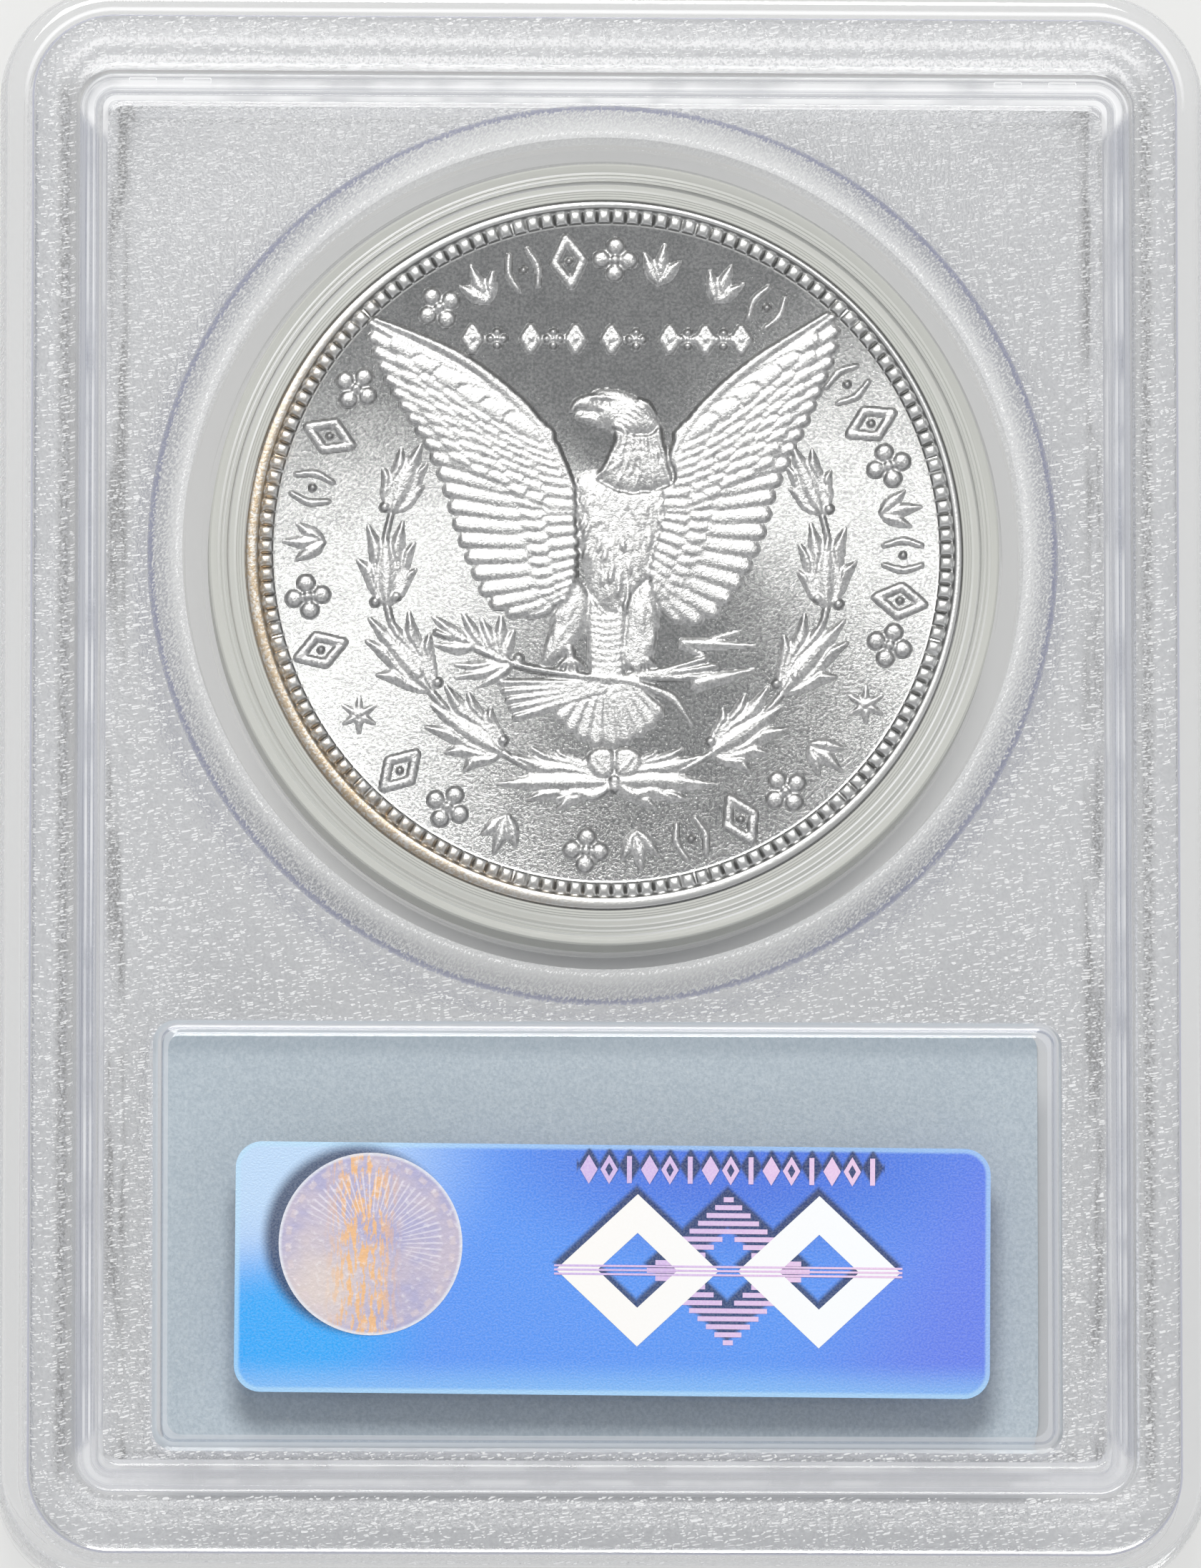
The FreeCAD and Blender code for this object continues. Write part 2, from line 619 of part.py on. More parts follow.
def make_hologram_sticker():
    """The foil sticker on the outer face of the rear label window."""
    body = new_body("hologram_sticker")
    size = ("sizes.sticker_width", "sizes.sticker_length", "sizes.sticker_corner")
    rounded_block("Pad", body, "foil", size, "0", "sizes.sticker_thickness", True)
    turn = FreeCAD.Rotation(FreeCAD.Vector(0, 0, 1), sheet.sticker_turn)
    body.Placement = FreeCAD.Placement(FreeCAD.Vector(0, 0, 0), turn)
    body.setExpression("Placement.Base.x", "sizes.sticker_centre_x")
    body.setExpression("Placement.Base.y", "sizes.sticker_centre_y")
    body.setExpression("Placement.Base.z", "sizes.field_height + sizes.rear_window_rise")
    doc.recompute()
    return body


# ---------------------------------------------------------------- build, check and write

PIECES = [
    make_rear_shell(),
    make_front_shell(),
    make_coin_gasket(),
    make_coin(),
    make_label_insert(),
    make_hologram_sticker(),
]
doc.recompute()

for item in doc.Objects:
    if "Invalid" in item.State or "Error" in item.State:
        raise RuntimeError(f"{item.Name} failed: {item.State}")

os.makedirs("parts", exist_ok=True)
for piece in PIECES:
    if piece.Shape.isNull() or not piece.Shape.isValid() or len(piece.Shape.Solids) != 1:
        raise RuntimeError(f"{piece.Label} is not one valid solid")
    piece.Shape.exportStep(f"parts/{piece.Label}.step")
    box = piece.Shape.BoundBox
    print(
        f"{piece.Label}: volume {piece.Shape.Volume:.1f}, x {box.XMin:.2f} {box.XMax:.2f}, "
        f"y {box.YMin:.2f} {box.YMax:.2f}, z {box.ZMin:.2f} {box.ZMax:.2f}"
    )
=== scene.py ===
import math
from random import Random

import bmesh
import bpy
import numpy as np
from mathutils import Matrix, Vector
from mathutils.geometry import tessellate_polygon


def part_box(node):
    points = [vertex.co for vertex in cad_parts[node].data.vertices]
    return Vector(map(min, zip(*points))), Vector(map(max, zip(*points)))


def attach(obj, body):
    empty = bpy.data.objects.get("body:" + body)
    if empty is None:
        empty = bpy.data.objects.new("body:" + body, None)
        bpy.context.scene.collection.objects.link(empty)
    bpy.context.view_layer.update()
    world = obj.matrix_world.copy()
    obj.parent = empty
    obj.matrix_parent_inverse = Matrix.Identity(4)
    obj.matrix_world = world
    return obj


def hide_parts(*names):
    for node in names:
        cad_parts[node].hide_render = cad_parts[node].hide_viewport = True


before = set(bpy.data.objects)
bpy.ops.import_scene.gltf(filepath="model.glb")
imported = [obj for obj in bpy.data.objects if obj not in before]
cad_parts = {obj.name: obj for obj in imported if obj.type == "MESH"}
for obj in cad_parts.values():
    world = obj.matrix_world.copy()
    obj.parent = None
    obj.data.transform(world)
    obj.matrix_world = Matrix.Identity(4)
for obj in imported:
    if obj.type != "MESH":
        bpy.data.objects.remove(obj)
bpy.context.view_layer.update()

# The looks of a sealed coin slab that lies on its front face. Lengths in the constants and in the shaders
# are millimetres, and MM turns them into Blender's metres.
MM = 0.001


def box_mm(node):
    """A CAD node's lowest and highest corners, in millimetres."""
    low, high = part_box(node)
    return np.array(low) / MM, np.array(high) / MM


SLAB_LOW, SLAB_HIGH = box_mm("rear_shell")
COIN_LOW, COIN_HIGH = box_mm("coin")
RING_LOW, RING_HIGH = box_mm("coin_gasket")
LABEL_LOW, LABEL_HIGH = box_mm("label_insert")
STICKER_LOW, STICKER_HIGH = box_mm("hologram_sticker")
HALF_WIDTH = SLAB_HIGH[0]
HALF_LENGTH = SLAB_HIGH[1]
SLAB_CORNER = 6.0

FLANGE = 1.7
PARTING = SLAB_LOW[2]
FIELD_HEIGHT = 7.0
WINDOW_HEIGHT = STICKER_LOW[2]
STEP_HEIGHT = 7.25
FLANGE_HEIGHT = 6.9
REAR_INSIDE = 5.6
FRONT_INSIDE = 2.6
CHANNEL = 6.2
FRONT_RECESS = 1.2
FRONT_WINDOW_HEIGHT = 1.0
# The shells touch, but faces that coincide would spoil the refraction, so they stand this far apart.
SEAM = 0.02
ROUND_WINDOW = (0.0, 12.2)
ROUND_WINDOW_RADIUS = 24.2
ROUND_BEVEL = 1.86
LABEL_WINDOW = (0.25, -24.3)
LABEL_WINDOW_HALF = (24.05, 11.45)
LABEL_BEVEL = 0.8
LABEL_POCKET_HALF = (23.45, 10.9)
POCKET_WALL = 0.7
RIB_RADIUS = 21.25
RIB_WALL = 0.9

# The ridge, step and field sit a little off the slab's middle.
MOULDED = (0.13, 0.0)
# Outlines of the moulded steps, as half width, half length and corner radius.
SLAB = (HALF_WIDTH, HALF_LENGTH, SLAB_CORNER)
RIDGE = (HALF_WIDTH - FLANGE, HALF_LENGTH - FLANGE, SLAB_CORNER - FLANGE)
STEP = (RIDGE[0] - 2.45, RIDGE[1] - 3.1, 1.9)
FIELD = (STEP[0] - 1.45, STEP[1] - 1.75, 0.9)
CAVITY = (HALF_WIDTH - 1.6, HALF_LENGTH - 1.6, SLAB_CORNER - 1.6)
RECESS = (RIDGE[0] + 0.2, RIDGE[1] + 0.2, RIDGE[2] + 0.2)
TONGUE = (STEP[0] - 0.15, STEP[1] - 0.15, 1.7)
TONGUE_INSIDE = (TONGUE[0] - 1.0, TONGUE[1] - 1.2, 0.7)
GROOVE = (TONGUE[0] + 0.1, TONGUE[1] + 0.1, 1.8)
GROOVE_WALL = (GROOVE[0] + 0.8, GROOVE[1] + 0.8, 2.6)
GROOVE_INSIDE = (TONGUE_INSIDE[0] - 0.1, TONGUE_INSIDE[1] - 0.1, 0.6)
GROOVE_INSIDE_WALL = (GROOVE_INSIDE[0] - 0.8, GROOVE_INSIDE[1] - 0.8, 0.15)

COIN_MIDDLE = (COIN_LOW + COIN_HIGH) / 2
COIN_RADIUS = (COIN_HIGH[0] - COIN_LOW[0]) / 2
COIN_HALF = (COIN_HIGH[2] - COIN_LOW[2]) / 2
FIELD_LEVEL = COIN_HALF - 0.3
BEAD_OUTER = COIN_RADIUS - 0.55
BEAD_INNER = BEAD_OUTER - 0.80
# The dies struck a little off the blank's middle, so the rim is wider on one side.
STRIKE = (0.13, 0.13)

RING_MIDDLE = (RING_LOW + RING_HIGH) / 2
RING_POINTS = 384
STICKER_MIDDLE = (STICKER_LOW + STICKER_HIGH) / 2
STICKER_HALF = (19.95, 6.65)
STICKER_CORNER = 1.4
# The sticker was put on slightly crooked.
STICKER_TURN = math.radians(-0.4)
FOIL_TOP = 0.06
MEDALLION = (-12.8, 1.25)
MEDALLION_RADIUS = 4.85
# The emblem is a chain of three lozenge frames with a band of three fine lines across its middle.
EMBLEM_HEIGHT = 0.0
EMBLEM_HALF = (4.3, 4.05)
EMBLEM_PLACES = (1.3, 6.1, 10.9)
EMBLEM_STROKE = 1.5
# The row of small marks over the emblem: the places of the first and the last, and how many.
MARKS_HEIGHT = 5.35
MARKS = (-1.3, 13.7, 15)


# ---------------------------------------------------------------- shader trees


class Value:
    """A number or a colour in a node tree. Python's own operators add the nodes that work it out."""

    def __init__(self, tree, socket):
        self.tree = tree
        self.socket = socket

    def __add__(self, other):
        return self.tree.math("ADD", self, other)

    def __sub__(self, other):
        return self.tree.math("SUBTRACT", self, other)

    def __rsub__(self, other):
        return self.tree.math("SUBTRACT", other, self)

    def __mul__(self, other):
        return self.tree.math("MULTIPLY", self, other)

    def __truediv__(self, other):
        return self.tree.math("DIVIDE", self, other)

    def __abs__(self):
        return self.tree.math("ABSOLUTE", self)


class Tree:
    """A material's node tree. Values, plain numbers and colours fit its inputs."""

    def __init__(self, name):
        self.material = bpy.data.materials.new(name)
        self.material.use_nodes = True
        self.nodes = self.material.node_tree.nodes
        self.links = self.material.node_tree.links
        self.nodes.clear()
        # The point's own place, in millimetres in the slab's frame.
        coordinates = self.value("ShaderNodeTexCoord", output="Object")
        self.place = self.value("ShaderNodeVectorMath", {0: coordinates, "Scale": 1 / MM}, operation="SCALE")
        self.x, self.y, self.z = self.split(self.place)

    def value(self, kind, inputs=(), output=0, **settings):
        """Adds a node and gives the value of one of its outputs."""
        node = self.nodes.new(kind)
        for key, value in settings.items():
            setattr(node, key, value)
        for key, value in dict(inputs).items():
            socket = node.inputs[key]
            if isinstance(value, Value):
                self.links.new(value.socket, socket)
            else:
                socket.default_value = (*value, 1.0) if socket.type == "RGBA" else value
        return Value(self, node.outputs[output])

    def math(self, operation, *values):
        return self.value("ShaderNodeMath", dict(enumerate(values)), operation=operation)

    def most(self, first, *others):
        """The largest of some values."""
        for other in others:
            first = self.math("MAXIMUM", first, other)
        return first

    def outputs(self, value, names):
        """Other outputs of the node that gave a value."""
        return [Value(self, value.socket.node.outputs[name]) for name in names]

    def split(self, vector):
        return self.outputs(self.value("ShaderNodeSeparateXYZ", {0: vector}), range(3))

    def join(self, x, y, z=0.0):
        return self.value("ShaderNodeCombineXYZ", {0: x, 1: y, 2: z})

    def stretch(self, vector, factors):
        return self.value("ShaderNodeVectorMath", {0: vector, 1: factors}, operation="MULTIPLY")

    def noise(self, vector, scale, detail=2.0, roughness=0.5):
        inputs = {"Vector": vector, "Scale": scale, "Detail": detail, "Roughness": roughness}
        return self.value("ShaderNodeTexNoise", inputs, "Fac")

    def cells(self, vector):
        """The distance to the nearest of many scattered points, and that point's own random number."""
        inputs = {"Vector": vector, "Scale": 1.0}
        distance = self.value("ShaderNodeTexVoronoi", inputs, "Distance", voronoi_dimensions="2D")
        return distance, self.split(self.outputs(distance, ["Color"])[0])[0]

    def ramp(self, value, low, high, to_low=0.0, to_high=1.0):
        """A smooth step from one value to another."""
        inputs = {"Value": value, "From Min": low, "From Max": high, "To Min": to_low, "To Max": to_high}
        return self.value("ShaderNodeMapRange", inputs, interpolation_type="SMOOTHSTEP")

    def fade(self, value, low, high, strength=1.0):
        """A smooth step from a strength down to nothing."""
        return self.ramp(value, low, high, strength, 0.0)

    def line(self, value, at, half, soft, strength=1.0):
        """A soft line where a value is within half of a place."""
        return self.fade(abs(value - at), half, half + soft, strength)

    def lines(self, value, *rows):
        return self.most(*[self.line(value, *row) for row in rows])

    def mix(self, share, first, second):
        return self.value("ShaderNodeMix", {0: share, 6: first, 7: second}, 2, data_type="RGBA")

    def bump(self, height, distance_mm):
        return self.value("ShaderNodeBump", {"Height": height, "Distance": distance_mm * MM})

    def radius(self, x, y, centre=(0.0, 0.0)):
        x = x - centre[0]
        y = y - centre[1]
        return self.math("SQRT", x * x + y * y)

    def rectangle(self, x, y, half_x, half_y, corner, centre=(0.0, 0.0)):
        """The signed distance in millimetres to a rectangle with round corners, negative inside."""
        over = [abs(x - centre[0]) - (half_x - corner), abs(y - centre[1]) - (half_y - corner)]
        outside = [self.most(value, 0.0) for value in over]
        far = self.math("SQRT", outside[0] * outside[0] + outside[1] * outside[1])
        return far + self.math("MINIMUM", self.most(*over), 0.0) - corner

    def beyond(self, outline):
        """How far the point is outside one of the moulded outlines, negative inside."""
        return self.rectangle(self.x, self.y, *outline, MOULDED)

    def steepness(self):
        """How far the surface leans from level: 0 where it is flat, 1 where it is upright."""
        normal = self.value("ShaderNodeNewGeometry", output="Normal")
        return 1.0 - abs(self.split(normal)[2])

    def principled(self, tone, **inputs):
        named = {key.replace("_", " "): value for key, value in inputs.items()}
        return self.value("ShaderNodeBsdfPrincipled", {"Base Color": tone, **named})

    def plastic(self, tone, roughness, ior=1.49, **inputs):
        return self.principled(tone, Roughness=roughness, IOR=ior, Transmission_Weight=1.0, **inputs)

    def surface(self, shader):
        output = self.nodes.new("ShaderNodeOutputMaterial")
        self.links.new(shader.socket, output.inputs["Surface"])
        return self.material

    def see_through(self, shader, through):
        """A clear surface. Lamps and bounced light go straight through, so that what lies behind is lit."""
        path = self.value("ShaderNodeLightPath")
        kinds = ("Is Glossy Ray", "Is Reflection Ray", "Is Diffuse Ray", "Is Shadow Ray")
        glossy, reflected, diffuse, shadow = self.outputs(path, kinds)
        straight = self.most(glossy * reflected, diffuse, shadow)
        open_air = self.value("ShaderNodeBsdfTransparent", {"Color": (through, through, through)})
        return self.surface(self.value("ShaderNodeMixShader", {0: straight, 1: shader, 2: open_air}))

    def veiled(self, clear, share, tone, through):
        """A clear surface with a share of white or grey haze on it."""
        haze = self.value("ShaderNodeBsdfDiffuse", {"Color": tone})
        return self.see_through(self.value("ShaderNodeMixShader", {0: share, 1: clear, 2: haze}), through)


# ---------------------------------------------------------------- materials


WHITE = (1.0, 1.0, 1.0)
WATER_CLEAR = (0.97, 0.972, 0.975)


def polished_plastic():
    """Clear plastic from a polished part of the mould."""
    tree = Tree("polished_plastic")
    return tree.see_through(tree.plastic(WATER_CLEAR, 0.03), 0.97)


def flange_plastic():
    """The polished flange, with a glint along it at the coin end and a dim line at the foot of the ridge."""
    tree = Tree("flange_plastic")
    depth = tree.beyond(RIDGE)
    glint = tree.line(depth, 0.42, 0.03, 0.16, 0.85) * tree.ramp(tree.y, 34.0, 40.5)
    foot = tree.line(depth, 0.06, 0.03, 0.06, 0.8)
    tone = tree.mix(glint, tree.mix(foot, (0.96, 0.96, 0.97), (0.36, 0.37, 0.48)), WHITE)
    return tree.veiled(tree.plastic(WATER_CLEAR, 0.03), tree.most(glint, foot, 0.16), tone, 0.97)


def drawn_plastic():
    """Clear plastic with fine straight draw lines, as on the walls beside the weld."""
    tree = Tree("drawn_plastic")
    x, y = tree.x, tree.y
    depth = tree.beyond(STEP)
    side = tree.ramp(abs(x) - abs(y), -8.5, -7.5)
    near_end = tree.fade(y, -34.0, -30.0)
    lines = tree.noise(tree.join(depth * 6.5, y * 0.03), 1.0, 2.0, 0.75)
    shadow = side * (tree.ramp(depth, -1.0, -0.75) * tree.ramp(lines, 0.3, 0.6, 1.0, 0.35))
    clear_tone = tree.mix(shadow, (0.955, 0.957, 0.965), (0.66, 0.69, 0.78))
    clear = tree.plastic(clear_tone, 0.08, Normal=tree.bump(lines, 0.02))
    glint = tree.lines(depth, (-0.12, 0.03, 0.07, 0.7), (-0.55, 0.16, 0.07, 0.75), (-1.35, 0.12, 0.07, 0.8))
    uneven = tree.ramp(tree.noise(tree.stretch(tree.place, (0.25, 0.25, 0.0)), 1.0), 0.3, 0.6, 0.45, 1.0)
    glint = glint * uneven * ((1.0 - side * 0.9) * (1.0 - near_end * 0.55))
    # Small tabs of weld flash near the corners of the coin end show as painted highlights along their
    # outlines.
    for tab in (21.6, 24.5):
        outline = abs(tree.rectangle(abs(x), y, 0.72, 0.13, 0.05, (tab, 37.55)))
        glint = tree.most(glint, tree.fade(outline, 0.02, 0.06, 0.8))
    # Painted highlights: pale lines along the step on the long sides.
    pale = tree.lines(depth, (-0.42, 0.04, 0.06, 0.6), (-0.72, 0.03, 0.05, 0.6), (-1.28, 0.05, 0.08, 0.5))
    glint = tree.most(glint, pale * side * uneven)
    # Painted shade: dark lines on the long sides where the inner walls show through, and dark streaks at the
    # ends.
    walls = tree.lines(depth, (-0.17, 0.08, 0.10, 0.6), (-0.97, 0.02, 0.05, 0.75))
    walls = walls * side * tree.ramp(lines, 0.35, 0.55, 0.55, 1.0)
    walls = tree.most(walls, (1.0 - side) * tree.fade(lines, 0.36, 0.52, 0.55))
    shadow = tree.most(shadow, walls)
    tone = tree.mix(glint, tree.mix(shadow, (0.80, 0.81, 0.84), (0.31, 0.32, 0.36)), WHITE)
    haze = tree.most(walls, near_end * 0.12 + 0.12)
    return tree.veiled(clear, tree.most(glint, haze), tone, 0.95)


def frosted_plastic(name, ridge=False):
    """Clear plastic with a spark-eroded texture: short bright dashes of painted highlight on a mottled
    ground.
    """
    tree = Tree(name)
    x, y, z = tree.x, tree.y, tree.z
    flat = tree.stretch(tree.place, (1.0, 1.0, 0.0))
    # Height counts a little, so that the texture doesn't smear down the upright walls.
    along = (y - x * 0.16) * 8.0 + (tree.noise(flat, 0.9, 1.0) * 2.0 + z * 3.0)
    across = x * 2.6 + (tree.noise(flat, 2.3, 1.0) * 2.5 + z)
    distance, pick = tree.cells(tree.join(across, along))
    crowd = tree.ramp(tree.noise(flat, 0.35, 3.0, 0.65), 0.35, 0.65, 0.66, 0.34)
    grain = tree.noise(tree.place, 7.0, 1.0, 0.6)
    # The eroded pits raise the bump; their glints are painted as white dashes in the haze.
    sparkle = tree.fade(distance - pick * 0.38, -0.03, 0.04) * tree.ramp(pick - crowd, 0.0, 0.02)
    painted_highlight = sparkle * 0.82
    if ridge:
        depth = tree.beyond(RIDGE)
        side = tree.ramp(abs(x) - abs(y), -10.5, -7.5)
        # Painted highlights: two bright bands along the ridge's crown, weaker at the label end and missing on
        # the long sides.
        band = tree.lines(depth, (-1.45, 0.05, 0.50, 0.8), (-2.40, 0.05, 0.35, 0.9))
        band = band * (tree.ramp(y, -34.0, -30.0, 0.45, 1.0) * (1.0 - side))
        painted_highlight = tree.most(painted_highlight, band * tree.ramp(grain, 0.3, 0.6, 0.6, 1.0))
        # Painted shade: a dark band along the ridge on its long sides.
        dark = tree.line(depth, -1.65, 0.1, 0.5) * side * tree.ramp(grain, 0.4, 0.6, 0.3, 1.0)
        soft = tree.ramp(tree.beyond(STEP), 0.25, 0.65)
    else:
        # The frost is darker in patches along the long sides of the field, and softer towards the coin end.
        patches = tree.ramp(tree.noise(tree.join(x, y * 0.11), 1.0), 0.42, 0.58)
        strip = tree.line(tree.beyond(STEP), -2.05, 0.30, 0.50) * patches * tree.ramp(abs(x), 24.0, 24.6)
        dark = strip * tree.ramp(grain, 0.38, 0.56, 0.2, 1.0)
        soft = tree.ramp(y, 14.0, 34.0, 1.0, 0.82)
        painted_highlight = painted_highlight * soft
    relief = (sparkle * 0.7 + grain * 0.6) * soft
    clear_tone = tree.mix(tree.ramp(grain, 0.4, 0.7), (0.86, 0.865, 0.88), (0.95, 0.953, 0.965))
    clear_tone = tree.mix(dark, clear_tone, (0.60, 0.605, 0.60))
    clear = tree.plastic(clear_tone, 0.26, Normal=tree.bump(relief, 0.09))
    ground = tree.mix(tree.ramp(grain, 0.35, 0.65), (0.40, 0.41, 0.44), (0.66, 0.67, 0.70))
    ground = tree.mix(dark, ground, (0.16, 0.16, 0.165))
    tone = tree.mix(painted_highlight, ground, WHITE)
    return tree.veiled(clear, tree.most(painted_highlight, 0.20, dark * 0.45), tone, 0.93)


def bevel_plastic():
    """The hatched bevel of the round window, blue-grey at its outer edge and glinting at its inner edge."""
    tree = Tree("bevel_plastic")
    x, y = tree.x, tree.y
    radius = tree.radius(x, y, ROUND_WINDOW)
    along = x * 0.64 + y * 0.77
    across = y * 0.64 - x * 0.77
    hatch = tree.noise(tree.join(along * 5.5, across * 9.0), 1.0, 2.0, 0.6)
    rough_edge = radius + hatch * 0.8
    dark = tree.ramp(hatch, 0.36, 0.56) * (tree.ramp(rough_edge, 23.1, 24.2) * 0.7 + 0.25)
    sideways = abs(x - ROUND_WINDOW[0]) / radius
    dark = dark * tree.ramp(sideways, 0.3, 0.7, 0.6, 1.3)
    clear_tone = tree.mix(dark, (0.94, 0.942, 0.94), (0.70, 0.71, 0.74))
    clear = tree.plastic(clear_tone, 0.14, Normal=tree.bump(hatch, 0.06))
    glint = tree.line(radius, 22.62, 0.03, 0.16, 0.9) * tree.ramp(hatch, 0.35, 0.55, 1.0, 0.2)
    outline = tree.line(rough_edge, 24.42, 0.09, 0.08, 0.85)
    tone = tree.mix(dark, (0.90, 0.905, 0.905), (0.40, 0.41, 0.45))
    tone = tree.mix(glint, tree.mix(outline, tone, (0.25, 0.26, 0.36)), WHITE)
    return tree.veiled(clear, tree.most(glint, outline, 0.42), tone, 0.95)


def lip_plastic():
    """The small smooth bevel round the label window, pale with a dim line along it."""
    tree = Tree("lip_plastic")
    depth = tree.rectangle(tree.x, tree.y, *LABEL_WINDOW_HALF, 1.2, LABEL_WINDOW)
    dim = tree.line(depth, -0.50, 0.03, 0.08)
    tone = tree.mix(dim, (0.74, 0.755, 0.79), (0.40, 0.43, 0.50))
    return tree.veiled(tree.plastic((0.95, 0.955, 0.965), 0.06), 0.42, tone, 0.96)


def clear_ring_plastic():
    """The softer, clearer plastic of the ring that grips the coin, with fine turned lines and thin painted
    highlights.
    """
    tree = Tree("clear_ring_plastic")
    x, y = tree.x, tree.y
    radius = tree.radius(x, y, COIN_MIDDLE)
    turned_lines = tree.noise(tree.join(radius * 6.5, 0.0), 1.0, 2.0, 0.7)
    # Painted highlights: thin bright rings, brightest at the upper left and the lower right.
    angle = tree.math("ARCTAN2", y - ROUND_WINDOW[1], x)
    lit = tree.ramp(tree.math("COSINE", (angle - math.radians(130)) * 2.0), -0.4, 0.8, 0.2, 1.0)
    lines = tree.line(radius, 21.15, 0.02, 0.06, 0.5)
    for at in (19.62, 19.95, 20.22, 20.50):
        lines = tree.most(lines, tree.line(radius, at, 0.02, 0.06))
    lines = lines * lit
    gaps = tree.lines(radius, (20.08, 0.03, 0.05), (21.0, 0.03, 0.06))
    clear_tone = tree.mix(tree.ramp(turned_lines, 0.35, 0.45), (0.86, 0.865, 0.86), (0.96, 0.965, 0.96))
    clear = tree.plastic(clear_tone, 0.06, 1.46, Normal=tree.bump(turned_lines, 0.03))
    tone = tree.mix(gaps * 0.3, (0.695, 0.70, 0.65), (0.42, 0.425, 0.40))
    tone = tree.mix(lines, tone, (1.0, 1.0, 0.98))
    share = tree.most(lines, 0.76, tree.ramp(radius, 19.3, 19.7, 0.95, 0.76))
    return tree.veiled(clear, share, tone, 0.97)


# The flow lines of the struck silver run out from a place a little off the coin's middle.
LUSTRE_MIDDLE = (1.5, 3.5)


def silver(name, rough, spread, metal, tones, grain_mm):
    """Struck silver. Flow lines that run out from the middle give the fields their turning lustre."""
    tree = Tree(name)
    x = tree.x - COIN_MIDDLE[0]
    y = tree.y - COIN_MIDDLE[1]
    cloud = tree.noise(tree.place, 1.1, 3.0, 0.6)
    bloom = cloud * 0.22 + tree.noise(tree.place, 6.0, 3.0, 0.7) * 0.78
    struck = tree.ramp(tree.radius(x, y, STRIKE), 17.56, 17.68)
    tone = tree.mix(struck, tree.mix(tree.ramp(bloom, 0.36, 0.64), *tones), (0.80, 0.80, 0.78))
    # Painted shade: the steeper the surface, the darker its tone, so the relief shows dark outlines.
    tone = tree.mix(tree.ramp(tree.steepness(), 0.01, 0.34, 0.0, 0.85), tone, (0.16, 0.16, 0.155))
    # The rim has toned golden on the left.
    left = tree.ramp(tree.math("COSINE", tree.math("ARCTAN2", y, x) - math.radians(200)), 0.2, 0.95)
    rim = tree.ramp(tree.radius(x, y) + cloud, 17.9, 19.0)
    gold = left * rim * tree.ramp(bloom, 0.42, 0.56, 0.25, 1.0)
    shader = tree.principled(
        tree.mix(gold * 0.85, tone, (0.50, 0.36, 0.20)),
        Metallic=metal,
        Roughness=tree.ramp(struck, 0.0, 1.0, rough, 0.34),
        Anisotropic=tree.ramp(struck, 0.0, 1.0, spread, 0.1),
        Tangent=tree.join(LUSTRE_MIDDLE[1] - y, x - LUSTRE_MIDDLE[0]),
        Normal=tree.bump(bloom, grain_mm),
    )
    return tree.surface(shader)


def sticker_place(tree):
    """How far a point is to the right of the sticker's middle and above it, in millimetres."""
    x = tree.x - STICKER_MIDDLE[0]
    y = tree.y - STICKER_MIDDLE[1]
    lean = math.tan(STICKER_TURN)
    return x + y * lean, y - x * lean


def lozenge_shade(tree, right, upward, centre, half, stroke, soft):
    """A blurred print in the shape of a lozenge frame, 1 inside the stroke and 0 outside."""
    reach = abs(right - centre[0]) / half[0] + abs(upward - centre[1]) / half[1]
    inset = (1.0 - reach) * (1 / math.hypot(1 / half[0], 1 / half[1]))
    return tree.fade(abs(inset - stroke / 2), stroke / 2 - soft * 0.4, stroke / 2 + soft)


def blue_foil():
    """Foil whose blue turns from pale sky at the upper left to azure, with printed navy shadows."""
    tree = Tree("blue_foil")
    right, upward = sticker_place(tree)
    grain = tree.noise(tree.place, 9.0, 2.0, 0.6)
    tone = tree.mix(tree.ramp(right + upward * -0.4, 9.0, 20.0), (0.085, 0.285, 0.860), (0.115, 0.200, 0.800))
    # Pools of another blue: how flat each is, its middle, the radii it fades between, its strength and tone.
    for flat, middle, low, high, strength, other in (
        (2.2, (7.0, 14.5), 4.0, 17.0, 0.85, (0.045, 0.135, 0.680)),
        (1.2, (-19.5, 8.5), 4.0, 15.0, 0.9, (0.520, 0.690, 0.870)),
        (1.7, (-17.5, -5.8), 2.5, 9.0, 0.95, (0.010, 0.370, 0.900)),
    ):
        pool = tree.fade(tree.radius(right, upward * flat, middle), low, high)
        tone = tree.mix(pool * strength, tone, other)
    tone = tree.mix(tree.fade(upward, -6.5, -4.6, 0.75), tone, (0.23, 0.50, 0.87))
    border = tree.rectangle(right, upward, *STICKER_HALF, STICKER_CORNER)
    tone = tree.mix(tree.ramp(border, -0.35, -0.15, 0.0, 0.6), tone, (0.45, 0.70, 0.88))
    shade = tree.fade(tree.radius(right, upward, (MEDALLION[0] - 0.65, MEDALLION[1] + 0.25)), 4.55, 5.35)
    for x in EMBLEM_PLACES:
        centre = (x - 0.05, EMBLEM_HEIGHT + 0.38)
        frame_shade = lozenge_shade(tree, right, upward, centre, EMBLEM_HALF, EMBLEM_STROKE, 0.22)
        shade = tree.most(shade, frame_shade)
    first, last, count = MARKS
    pitch = (last - first) / (count - 1)
    start = first - pitch / 2
    height = MARKS_HEIGHT + 0.22
    local = tree.math("WRAP", right, start + pitch, start) - first
    in_row = tree.rectangle(right, upward, (last - first) / 2 + 0.6, 0.85, 0.1, ((first + last) / 2, height))
    mark = lozenge_shade(tree, local, upward, (0.02, height), (0.55, 0.9), 0.5, 0.15)
    shade = tree.most(shade, mark * tree.fade(in_row, -0.02, 0.1))
    tone = tree.mix(shade * 0.88, tone, (0.008, 0.018, 0.075))
    tone = tree.mix(tree.ramp(grain, 0.35, 0.65, 0.0, 0.08), tone, (0.9, 0.95, 1.0))
    return tree.surface(tree.principled(tone, Metallic=0.25, Roughness=0.42, Normal=tree.bump(grain, 0.01)))


